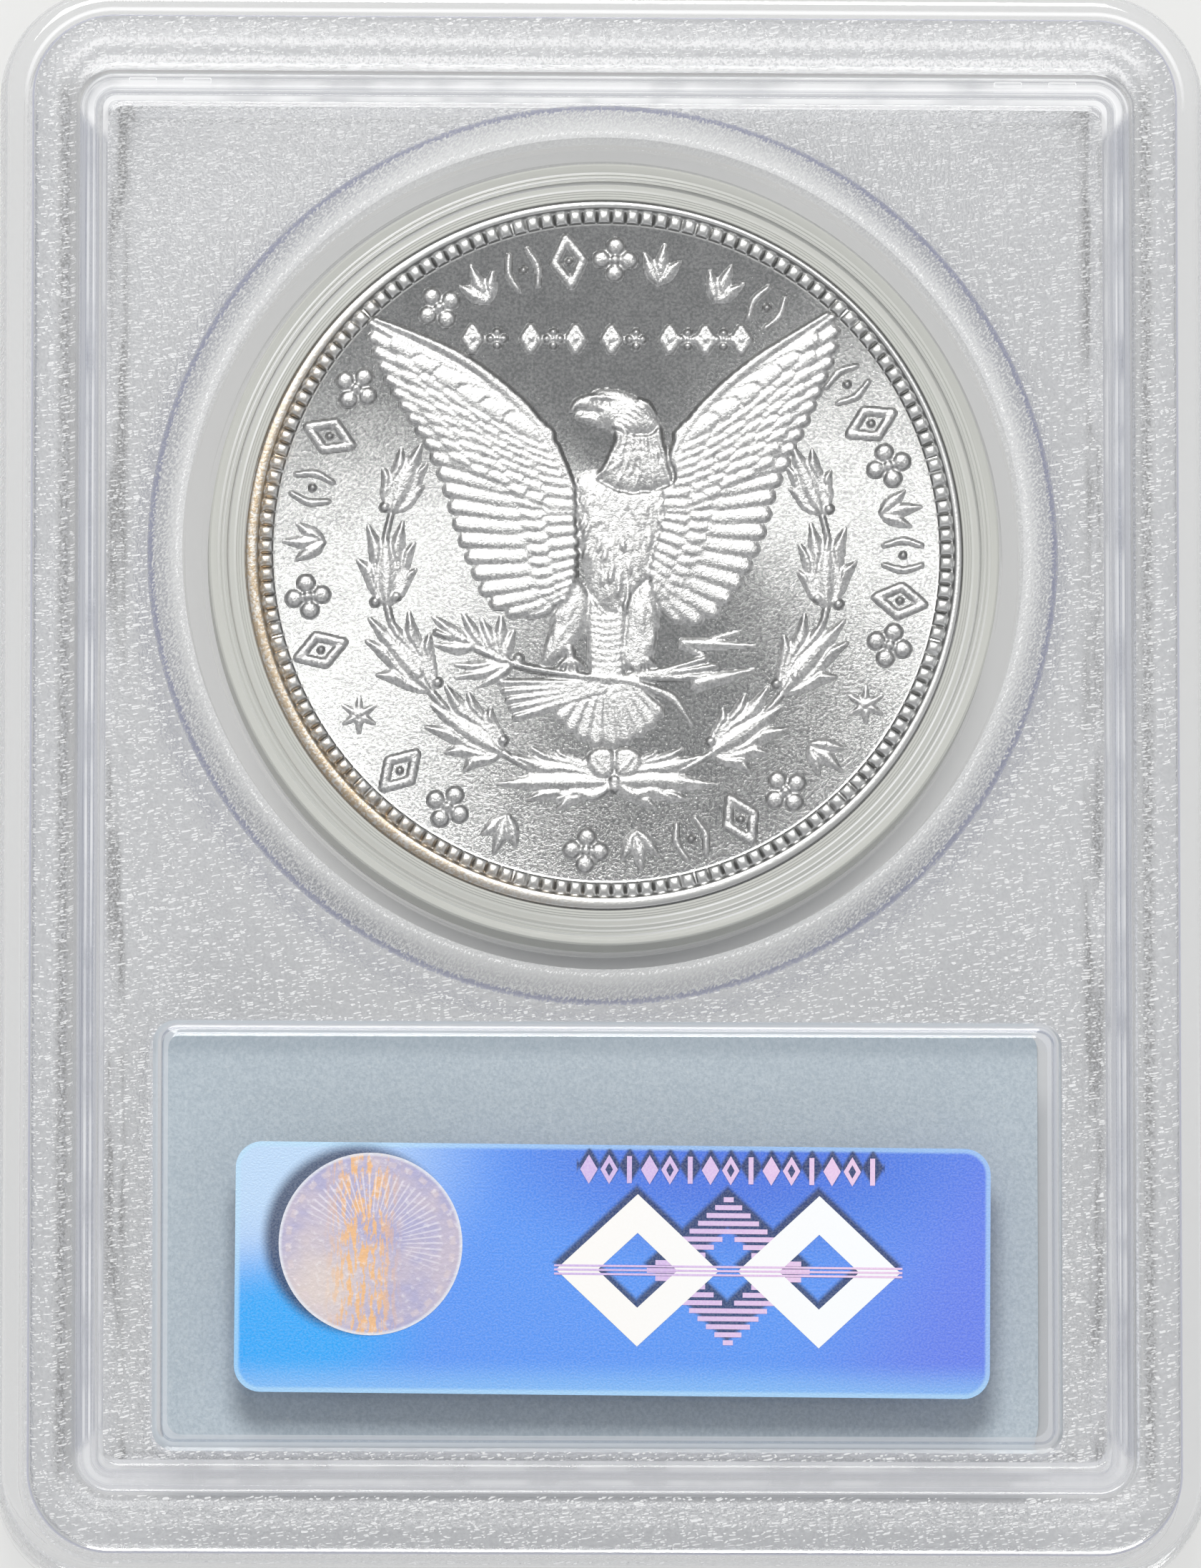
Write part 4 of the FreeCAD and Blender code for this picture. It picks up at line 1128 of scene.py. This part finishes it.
def draw_head(relief):
    """The eagle's neck, its long hackles, and its head turned to the left."""
    neck = [
        (0.5, 8.3), (1.8, 8.3), (2.9, 7.3), (3.3, 5.6), (3.7, 3.9), (1.5, 3.3), (-0.2, 3.9), (-0.2, 4.7),
        (0.4, 5.3), (0.7, 6.0), (0.4, 6.8),
    ]
    relief.mound(neck, 0.20, 0.9, over=True)
    rings = (((5.4, 5.0), (4.1, 3.6)), ((6.2, 6.0), (4.7, 4.4)), ((6.9, 7.1), (5.4, 5.3)))
    for ring, (top, low) in enumerate(rings):
        for row in range(9 - ring):
            t = row / (8 - ring)
            start = np.array([0.85 - 0.05 * ring + (2.2 - 0.1 * ring) * t, top[0] + (top[1] - top[0]) * t])
            end = np.array([-0.5 + 0.5 * ring + (4.1 - 0.75 * ring) * t, low[0] + (low[1] - low[0]) * t])
            end[1] += 0.45 * (row % 2) - 0.5 * math.sin(t * math.pi)
            middle = (start + end) / 2 + (0.15 - 0.2 * t, 0.1)
            feet = [0.17 + 0.01 * ring, 0.11 + 0.02 * ring]
            relief.stroke([start, middle, end], [0.15, 0.23, 0.19, 0.04], feet, 0.10, lean=0.5)
    skull = [
        (-0.75, 8.55), (-0.3, 8.87), (0.5, 8.9), (1.5, 8.6), (2.4, 7.9), (2.95, 7.0), (2.3, 6.4), (1.2, 6.5),
        (0.3, 6.75), (-0.4, 7.2), (-0.8, 7.8),
    ]
    relief.mound(skull, 0.25, 0.9, over=True)
    for row in range(7):
        t = row / 6
        start = np.array([0.55 + 1.3 * t, 6.95 + 1.35 * t])
        path = [start, start + (0.45, -0.22), start + (0.85, -0.62 - 0.1 * t)]
        relief.stroke(path, [0.10, 0.17, 0.04], [0.20, 0.18], 0.10)
    lower = [(-0.4, 7.65), (-1.1, 7.58), (-1.5, 7.42), (-1.05, 7.12), (-0.15, 6.92)]
    relief.mound(lower, 0.19, 0.25, over=True)
    upper = [
        (-0.6, 8.62), (-1.1, 8.56), (-1.6, 8.28), (-1.84, 7.72), (-1.58, 7.66), (-1.36, 7.86), (-0.5, 7.75),
    ]
    relief.mound(upper, 0.23, 0.3, over=True)
    relief.stroke([(-0.1, 7.64), (-0.7, 7.68), (-1.35, 7.66)], [0.05, 0.06, 0.04], 0.09, 0.0)
    relief.stroke([(-0.75, 8.45), (-0.05, 8.46), (0.8, 8.35)], [0.07, 0.13, 0.05], 0.22, 0.06)
    relief.stroke([(0.08, 8.12), (0.10, 8.13)], 0.21, 0.14, 0.0)
    relief.stroke([(0.08, 8.12), (0.10, 8.13)], 0.13, 0.17, 0.06)


def draw_body(relief, random):
    """Breast, thighs, banded tail root, feet and the fan of the tail."""
    fan_middle = np.array([0.2, -5.9])
    for turn in sorted(np.linspace(-52, 46, 10), key=lambda value: -abs(value)):
        tip = fan_middle + heading(-90 + turn, 4.15 - 0.012 * abs(turn))
        middle = (fan_middle + tip) / 2
        relief.stroke([fan_middle, middle, tip], [0.12, 0.34, 0.38], [0.12, 0.06], 0.08, lean=0.4)
        relief.stroke([fan_middle, tip], [0.04, 0.05, 0.03], [0.2, 0.13], 0.03)
    tail = [(-0.8, -2.2), (0.0, -2.6), (1.2, -2.2), (1.15, -4.4), (0.95, -6.6), (-0.6, -6.6), (-0.9, -4.4)]
    relief.mound(tail, 0.16, 0.4)
    for row in range(11):
        y = -2.7 - 0.36 * row
        bar_path = [(-0.65, y + 0.05), (0.15, y - 0.1), (0.95, y + 0.05)]
        relief.stroke(bar_path, [0.08, 0.15, 0.08], 0.13, 0.05)
    breast = [
        (-1.45, 4.1), (0.0, 4.6), (2.0, 4.4), (3.7, 3.9), (3.3, 1.5), (2.8, -0.5), (2.1, -1.9), (1.0, -2.9),
        (0.1, -3.2), (-0.7, -2.1), (-1.2, -0.1), (-1.45, 2.0),
    ]
    relief.mound(breast, 0.22, 1.6, over=True)
    for row in range(19):
        y = 3.9 - 0.36 * row
        reach = 2.45 * min(1.0, (y + 3.6) / 4.6) - 0.25
        for x in np.arange(-reach + 0.22 * (row % 2), reach, 0.44):
            at = np.array([1.0 + x, y]) + (random.gauss(0, 0.07), random.gauss(0, 0.07))
            level = relief.level(at)
            tip = at + heading(-90 + x * 9 + random.uniform(-12, 12), random.uniform(0.38, 0.58))
            relief.stroke([at, tip], [0.10, 0.16, 0.05], [level, level - 0.008], 0.024, over=False)
    thighs = (
        [(-2.0, -0.9), (-0.9, -2.0), (-0.9, -3.4), (-1.7, -5.0), (-3.3, -6.0), (-2.9, -4.2), (-2.4, -2.4)],
        [
            (1.9, -1.6), (2.6, -1.4), (2.9, -3.0), (2.7, -5.0), (2.2, -5.9), (1.1, -6.0), (1.1, -4.4),
            (1.3, -2.6),
        ],
    )
    for thigh, lean in zip(thighs, (24, -4)):
        relief.mound(thigh, 0.19, 0.6, over=True)
        middle = np.mean(thigh, axis=0)
        for _ in range(34):
            place = middle + (random.gauss(0, 0.42), random.gauss(0, 1.15))
            level = relief.level(place)
            if level > 0.12:
                tip = place + heading(-90 - lean + random.uniform(-12, 12), 0.75)
                feet = [level - 0.01, level - 0.02]
                relief.stroke([place, tip], [0.09, 0.12, 0.03], feet, 0.04, over=False)


def draw_feet(relief):
    """The feet, which grip the branch and the arrows."""
    for foot, side in (((-1.75, -5.7), -1), ((2.05, -5.6), 1)):
        foot = np.array(foot)
        relief.stroke([foot + (0.1 * side, 0.7), foot], [0.20, 0.22], 0.14, 0.07)
        for turn, length in ((-150, 0.75), (-110, 0.8), (-70, 0.8), (-30, 0.7)):
            tip = foot + heading(turn, length)
            relief.stroke([foot, (foot + tip) / 2 + (0, 0.12), tip], [0.17, 0.16, 0.07], [0.13, 0.1], 0.09)


def draw_branch(relief):
    """The leafy branch and the arrows in the eagle's feet."""
    for step in range(5):
        root = np.array([0.6 - 0.12 * step, -6.9 - 0.1 * step])
        tip = np.array([-5.45 + 0.2 * step, -6.9 - 0.46 * step])
        relief.stroke([tip, root], [0.17, 0.19, 0.14], [0.07, 0.09], 0.08, lean=0.4)
    for x, y in ((5.4, -5.55), (5.9, -5.95), (5.6, -6.45)):
        shaft = [(0.9, -6.55), (3.2, (y - 6.6) / 2 - 0.1), (x, y)]
        relief.stroke(shaft, [0.13, 0.13, 0.12], 0.09, 0.08)
    # The points of the arrows.
    for base, tip, half in (
        ((4.2, -4.95), (7.1, -4.1), 0.10),
        ((4.3, -4.75), (7.95, -4.85), 0.30),
        ((5.0, -6.9), (7.9, -6.15), 0.36),
        ((4.3, -4.95), (5.3, -5.4), 0.1),
    ):
        relief.stroke([base, tip], [half, half * 0.75, 0.04], [0.08, 0.06], 0.08, roof=True, lean=0.5)
    stem = [(-8.9, -4.2), (-6.9, -5.0), (-4.6, -5.95), (-1.4, -6.5), (1.2, -6.75), (3.0, -7.4), (4.0, -8.1)]
    relief.stroke(stem, [0.12, 0.15, 0.18, 0.2, 0.16], [0.10, 0.12], 0.10)
    relief.stroke([(2.6, -7.2), (3.7, -7.75), (4.65, -9.1)], [0.22, 0.26, 0.05], [0.10, 0.06], 0.10)
    for root, tip, half in (
        ((-6.6, -5.1), (-9.1, -3.35), 0.36),
        ((-6.9, -5.0), (-9.0, -4.85), 0.34),
        ((-6.1, -5.3), (-7.5, -3.2), 0.32),
        ((-5.4, -5.6), (-6.5, -3.5), 0.36),
        ((-5.4, -5.6), (-5.45, -3.3), 0.36),
        ((-5.3, -5.7), (-4.8, -4.1), 0.3),
        ((-4.9, -5.9), (-7.9, -5.95), 0.30),
        ((-4.9, -5.9), (-7.9, -6.6), 0.32),
        ((-4.9, -5.95), (-6.7, -7.1), 0.26),
    ):
        leaf(relief, root, tip, half, 0.03)
    berry(relief, (-4.55, -5.6), 0.27)


# The tufts of the wreath's left arm, from its tip to the bow: a root, then each leaf's heading and length.
TUFTS = [
    ((-11.4, 2.3), [(38, 2.1), (54, 3.1), (67, 3.9), (82, 3.4), (102, 2.3)]),
    ((-11.7, -2.7), [(50, 2.4), (66, 3.6), (79, 4.5), (91, 3.9), (103, 4.3), (123, 2.8)]),
    ((-9.4, -7.3), [(90, 3.0), (105, 4.3), (119, 4.3), (130, 5.0), (142, 4.3), (164, 2.9)]),
    ((-5.6, -10.6), [(104, 2.4), (119, 3.6), (130, 4.6), (146, 4.5), (162, 4.2), (181, 3.0), (207, 2.2)]),
    ((-0.1, -12.2), [(147, 3.0), (155, 4.3), (164, 5.2), (181, 5.7), (193, 4.3), (210, 2.9)]),
]


def draw_arm(relief, side):
    """One arm of the wreath, from the bow up to its tip."""
    def place(x, y):
        return np.array([side * x + 0.15, y])

    stem = [
        (-0.6, -12.2), (-3.4, -11.7), (-5.6, -10.6), (-7.6, -9.3), (-9.4, -7.3), (-10.9, -5.0), (-11.7, -2.7),
        (-11.9, 0.0), (-11.4, 2.4),
    ]
    relief.stroke([place(*point) for point in stem], [0.12, 0.17, 0.15, 0.12], 0.07, 0.08)
    for root, leaves in TUFTS:
        turned_leaves = [(turn if side > 0 else 180 - turn, length) for turn, length in leaves]
        spray(relief, place(*root), turned_leaves, 0.58)
    for x, y in ((-9.0, -6.9), (-12.3, -2.6), (-11.2, -2.3), (-11.8, 2.5), (-5.5, -10.0), (-10.0, -6.5)):
        berry(relief, place(x, y), 0.25)


def draw_bow(relief):
    """The bow that ties the two arms."""
    for side in (-1, 1):
        def placed(*points):
            return [(0.55 + side * x, y) for x, y in points]

        lobe = placed((0.05, -10.6), (0.75, -10.35), (1.4, -10.75), (1.35, -11.5), (0.7, -12.0), (0.1, -11.7))
        relief.mound(lobe, 0.17, 0.3)
        relief.stroke(placed((0.2, -11.7), (0.8, -11.1), (1.0, -10.7)), [0.1, 0.16, 0.08], 0.1, 0.1)
        tail = placed((0.1, -12.3), (1.1, -12.9), (2.1, -12.7), (3.1, -13.2))
        relief.stroke(tail, [0.16, 0.26, 0.24, 0.05], [0.07, 0.05], 0.09, lean=0.4)
    relief.stroke([(0.55, -12.1), (0.56, -12.5)], 0.26, 0.14, 0.1)


def draw_wreath(relief):
    for side in (1, -1):
        draw_arm(relief, side)
    draw_bow(relief)


def draw_star(relief, centre, radius, points=6):
    centre = np.array(centre)
    for k in range(points):
        tip = centre + heading(90 + 360 / points * k, radius)
        widths = [radius * 0.30, radius * 0.15, 0.03]
        relief.stroke([centre, tip], widths, [0.08, 0.04], 0.08, roof=True, lean=0.5)


def lozenge(relief, centre, turn, half_long, half_wide, height):
    """A raised lozenge with a sunk middle."""
    centre = np.array(centre)
    for start in range(4):
        reach = (half_long, half_wide)
        first = centre + heading(turn + 90 * start, reach[start % 2])
        second = centre + heading(turn + 90 * (start + 1), reach[(start + 1) % 2])
        relief.stroke([first, second], 0.22, height, 0.06)


def draw_ornament(relief, number, centre, turn, size):
    """One of a few plain ornaments that fill the band where a coin carries its words."""
    centre = np.array(centre)
    kind = number % 4
    if kind == 0:
        lozenge(relief, centre, turn, size, size * 0.62, 0.09)
        berry(relief, centre, 0.17)
    elif kind == 1:
        for k in range(4):
            berry(relief, centre + heading(turn + 90 * k, size * 0.58), size * 0.36)
        berry(relief, centre, size * 0.22)
    elif kind == 2:
        for k in (-1, 0, 1):
            root = centre - heading(turn, size * 0.8)
            leaf(relief, root, root + heading(turn + 34 * k, size * (1.75 - 0.35 * abs(k))), 0.36)
    else:
        for k in (-1, 1):
            aside = heading(turn + 90, size * 0.42 * k)
            reach = heading(turn, size * 0.8)
            bracket = [centre + aside - reach, centre + aside * 1.5, centre + aside + reach]
            relief.stroke(bracket, [0.1, 0.17, 0.1], 0.09, 0.04)
        berry(relief, centre, 0.18)


LEGEND_RADIUS = 15.9
# The groups of ornaments round the band: how many, and the angles of the first and the last.
LEGEND = [(6, 199, 146), (6, 123.5, 79), (2, 66.5, 57), (7, 35.5, -17.5), (3, 227, 250), (6, 266.5, 317.5)]
MOTTO_HEIGHT = 11.6
MOTTO = [(2, -7.0, -5.7), (3, -3.9, -1.5), (2, 0.4, 1.7), (5, 3.5, 7.3)]


def draw_legend(relief):
    for group, (count, first, last) in enumerate(LEGEND):
        for number, angle in enumerate(np.linspace(first, last, count)):
            draw_ornament(relief, number + group, heading(angle, LEGEND_RADIUS), angle, 1.25)
    for count, first, last in MOTTO:
        for number, x in enumerate(np.linspace(first, last, count)):
            draw_ornament(relief, number % 2, (x, MOTTO_HEIGHT), 90, 0.6)
    draw_star(relief, (-13.0, -8.65), 1.0)
    draw_star(relief, (13.9, -8.0), 1.0)


def make_coin(field_metal, relief_metal):
    """The struck coin: the eagle, the wreath round it, and the band of ornaments."""
    make_blank(field_metal)
    random = Random(11)
    eagle = Relief((-12.9, -10.6), (12.8, 13.4), 0.08)
    draw_body(eagle, random)
    draw_branch(eagle)
    draw_feet(eagle)
    draw_wing(eagle, LEFT_LEADING, LEFT_TRAILING, 1)
    draw_wing(eagle, RIGHT_LEADING, RIGHT_TRAILING, -1)
    draw_head(eagle)
    eagle.piece("coin_eagle", relief_metal)
    wreath = Relief((-14.2, -14.2), (14.4, 6.8))
    draw_wreath(wreath)
    wreath.piece("coin_wreath", relief_metal)
    front = Relief((-14.2, -14.2), (14.4, 13.0))
    draw_wreath(front)
    draw_star(front, (0.0, 1.0), 7.5, 8)
    front.piece("coin_front_wreath", relief_metal, -1)
    legend = Relief((-17.3, -17.3), (17.3, 17.3))
    draw_legend(legend)
    legend.piece("coin_ornaments", relief_metal)


# ---------------------------------------------------------------- the ring, and the sticker


def make_ring(material):
    """The ring round the coin: turned steps and fine grooves on both faces."""
    outer = RING_HIGH[0] - RING_MIDDLE[0]
    inner = outer - 1.9
    lip = 0.3
    face = [(inner, lip + 0.05), (inner + 0.05, lip)]
    for groove in (0.16, 0.30, 0.42):
        face += [(inner + groove - 0.04, lip), (inner + groove, lip + 0.04), (inner + groove + 0.04, lip)]
    face += [(inner + 0.80, lip), (inner + 0.86, lip - 0.05)]
    for groove in (0.95, 1.12, 1.30):
        face += [(inner + groove, 0.0), (inner + groove + 0.09, 0.015), (inner + groove + 0.13, 0.04)]
    face += [(inner + 1.52, 0.0), (outer - 0.10, 0.0), (outer, 0.08)]
    rows = [(radius, RING_HIGH[2] - drop) for radius, drop in face]
    rows += [(radius, RING_LOW[2] + drop) for radius, drop in reversed(face)]
    turned("coin_gasket_clear", rows, RING_POINTS, RING_MIDDLE, material, "coin_gasket", True)


def on_sticker(points):
    """Points of the sticker's own plane, in the slab's frame."""
    cosine = math.cos(STICKER_TURN)
    sine = math.sin(STICKER_TURN)
    return np.array(points, float) @ np.array([[cosine, sine], [-sine, cosine]]) + STICKER_MIDDLE[:2]


class Foils:
    """Thin closed plates of foil, between two heights over the sticker's foot, gathered into one mesh."""

    def __init__(self, low, high):
        self.heights = (STICKER_LOW[2] + low, STICKER_LOW[2] + high)
        self.skin = Skin()

    def cut(self, *outlines):
        """Cuts a plate to its outline. A second outline is a hole in it."""
        pairs = [[self.skin.loop(on_sticker(one), height) for height in self.heights] for one in outlines]
        for low, high in pairs:
            self.skin.band(low, high)
        for level in (0, 1):
            self.skin.plate(pairs[0][level], [pair[level] for pair in pairs[1:]])

    def piece(self, name, material):
        self.skin.piece(name, [material], "hologram_sticker", "sticker_foil")


def lozenge_outline(centre, half_x, half_y):
    return [
        (centre[0] + half_x, centre[1]),
        (centre[0], centre[1] + half_y),
        (centre[0] - half_x, centre[1]),
        (centre[0], centre[1] - half_y),
    ]


def bar(left, right, low, high):
    return [(right, low), (right, high), (left, high), (left, low)]


def make_sticker(foil, medallion, cream, lilac):
    """The foil, with a medallion at its left and a lozenge emblem and a row of small marks at its right."""
    base = Foils(0.0, FOIL_TOP)
    base.cut(rounded_outline(*STICKER_HALF, STICKER_CORNER))
    base.piece("sticker_foil_base", foil)

    disc = Foils(FOIL_TOP + 0.005, FOIL_TOP + 0.02)
    disc.cut(round_outline(MEDALLION_RADIUS, MEDALLION, 96))
    disc.piece("sticker_medallion", medallion)

    frames = Foils(FOIL_TOP + 0.005, FOIL_TOP + 0.022)
    half_x, half_y = EMBLEM_HALF
    ratio = 1 - EMBLEM_STROKE * math.hypot(1 / half_x, 1 / half_y)
    for x in (EMBLEM_PLACES[0], EMBLEM_PLACES[2]):
        centre = (x, EMBLEM_HEIGHT)
        frames.cut(*[lozenge_outline(centre, half_x * size, half_y * size) for size in (1, ratio)])
    frames.piece("sticker_emblem_frames", cream)

    stripes = Foils(FOIL_TOP + 0.005, FOIL_TOP + 0.018)
    middle = EMBLEM_PLACES[1]
    for row in range(19):
        height = -half_y + 0.25 + row * (2 * half_y - 0.5) / 18
        reach = half_x * (1 - abs(height) / half_y)
        gap = half_x * ratio * (1 - abs(height) / (half_y * ratio))
        spans = [(middle - reach, middle + reach)]
        if gap > 0.05:
            spans = [(middle - reach, middle - gap), (middle + gap, middle + reach)]
        for left, right in spans:
            stripes.cut(bar(left, right, height - 0.13, height + 0.13))
    stripes.piece("sticker_emblem_stripes", lilac)

    lines = Foils(FOIL_TOP + 0.025, FOIL_TOP + 0.035)
    for offset in (-0.22, 0.0, 0.22):
        lines.cut(bar(-3.1, 15.3, offset - 0.055, offset + 0.055))
    lines.piece("sticker_emblem_lines", lilac)

    marks = Foils(FOIL_TOP + 0.005, FOIL_TOP + 0.02)
    first, last, count = MARKS
    for number, x in enumerate(np.linspace(first, last, count)):
        centre = (x, MARKS_HEIGHT)
        outlines = (
            [lozenge_outline(centre, 0.46, 0.78)],
            [lozenge_outline(centre, 0.46, 0.78), lozenge_outline(centre, 0.20, 0.36)],
            [bar(x - 0.13, x + 0.13, MARKS_HEIGHT - 0.72, MARKS_HEIGHT + 0.72)],
        )
        marks.cut(*outlines[number % 3])
    marks.piece("sticker_marks", lilac)


# ---------------------------------------------------------------- stage: floor, lamps, camera


def make_floor():
    size = 3.0
    corners = [(-size, -size, 0), (size, -size, 0), (size, size, 0), (-size, size, 0)]
    mesh = bpy.data.meshes.new("floor")
    mesh.from_pydata(corners, [], [(0, 1, 2, 3)])
    mesh.materials.append(floor_paper())
    floor = bpy.data.objects.new("floor", mesh)
    floor.location.z = -0.05 * MM
    bpy.context.scene.collection.objects.link(floor)


def make_lamp(name, place, size, power, tint=(1.0, 1.0, 1.0)):
    """A softbox that faces the slab. Its place and size are in metres."""
    lamp = bpy.data.lights.new(name, "AREA")
    lamp.shape = "RECTANGLE"
    lamp.size, lamp.size_y = size
    lamp.energy = power
    lamp.color = tint
    thing = bpy.data.objects.new(name, lamp)
    thing.location = place
    thing.rotation_euler = (-Vector(place)).to_track_quat("-Z", "Y").to_euler()
    bpy.context.scene.collection.objects.link(thing)


def make_lights():
    """A softbox over the coin end and faint fills, in an even pale room."""
    make_lamp("key", (-0.05, 0.52, 0.85), (0.42, 0.32), 6.4, (1.0, 0.995, 0.98))
    make_lamp("fill_left", (-0.75, -0.1, 0.55), (0.4, 0.4), 0.5, (0.97, 0.98, 1.0))
    make_lamp("fill_near", (0.0, -0.75, 0.5), (0.9, 0.4), 1.0, (0.96, 0.97, 1.0))
    make_lamp("fill_right", (0.75, -0.1, 0.55), (0.4, 0.4), 0.5, (0.97, 0.98, 1.0))
    world = bpy.data.worlds.new("room")
    world.use_nodes = True
    background = world.node_tree.nodes["Background"]
    background.inputs["Color"].default_value = (0.93, 0.94, 0.96, 1.0)
    background.inputs["Strength"].default_value = 0.40
    bpy.context.scene.world = world


CAMERA_ELEVATION = 82.0
CAMERA_TURN = -1.8
CAMERA_DISTANCE = 1.0
VIEW_WIDTH = 63.64


def make_camera():
    """A long lens, high over the label end. The slab slightly overfills the picture."""
    aim = Vector((-0.14, -0.20, 7.4)) * MM
    up = math.radians(CAMERA_ELEVATION)
    turn = math.radians(CAMERA_TURN)
    away = Vector((math.sin(turn), -math.cos(up), math.sin(up))).normalized()
    data = bpy.data.cameras.new("camera")
    data.sensor_fit = "HORIZONTAL"
    data.lens = data.sensor_width * CAMERA_DISTANCE / (VIEW_WIDTH * MM)
    camera = bpy.data.objects.new("camera", data)
    camera.location = aim + away * CAMERA_DISTANCE
    right = Vector((0, 1, 0)).cross(away).normalized()
    upward = away.cross(right)
    camera.rotation_euler = Matrix((right, upward, away)).transposed().to_euler()
    bpy.context.scene.collection.objects.link(camera)
    bpy.context.scene.camera = camera


# ---------------------------------------------------------------- put together


def wear(node, material):
    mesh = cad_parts[node].data
    mesh.materials.clear()
    mesh.materials.append(material)


make_floor()
make_lights()
make_camera()
plastics = [
    polished_plastic(),
    frosted_plastic("frosted_plastic"),
    drawn_plastic(),
    bevel_plastic(),
    frosted_plastic("ridge_plastic", ridge=True),
    flange_plastic(),
    lip_plastic(),
]
make_rear_shell(plastics)
make_front_shell(plastics)
make_coin(
    silver("silver_field", 0.21, 0.95, 1.0, ((0.39, 0.395, 0.39), (0.70, 0.70, 0.685)), 0.014),
    silver("silver_relief", 0.34, 0.1, 0.9, ((0.48, 0.48, 0.475), (0.82, 0.815, 0.80)), 0.045),
)
make_ring(clear_ring_plastic())
make_sticker(
    blue_foil(),
    medallion_foil(),
    printed_foil("cream_print", (0.95, 0.93, 0.90), (0.93, 0.95, 0.97)),
    printed_foil("lilac_print", (0.62, 0.45, 0.80), (0.80, 0.55, 0.80)),
)
wear("label_insert", label_paper())

scene = bpy.context.scene
scene.view_settings.view_transform = "Standard"
scene.cycles.max_bounces = 16
scene.cycles.diffuse_bounces = 3
scene.cycles.transmission_bounces = 14
scene.cycles.transparent_max_bounces = 24
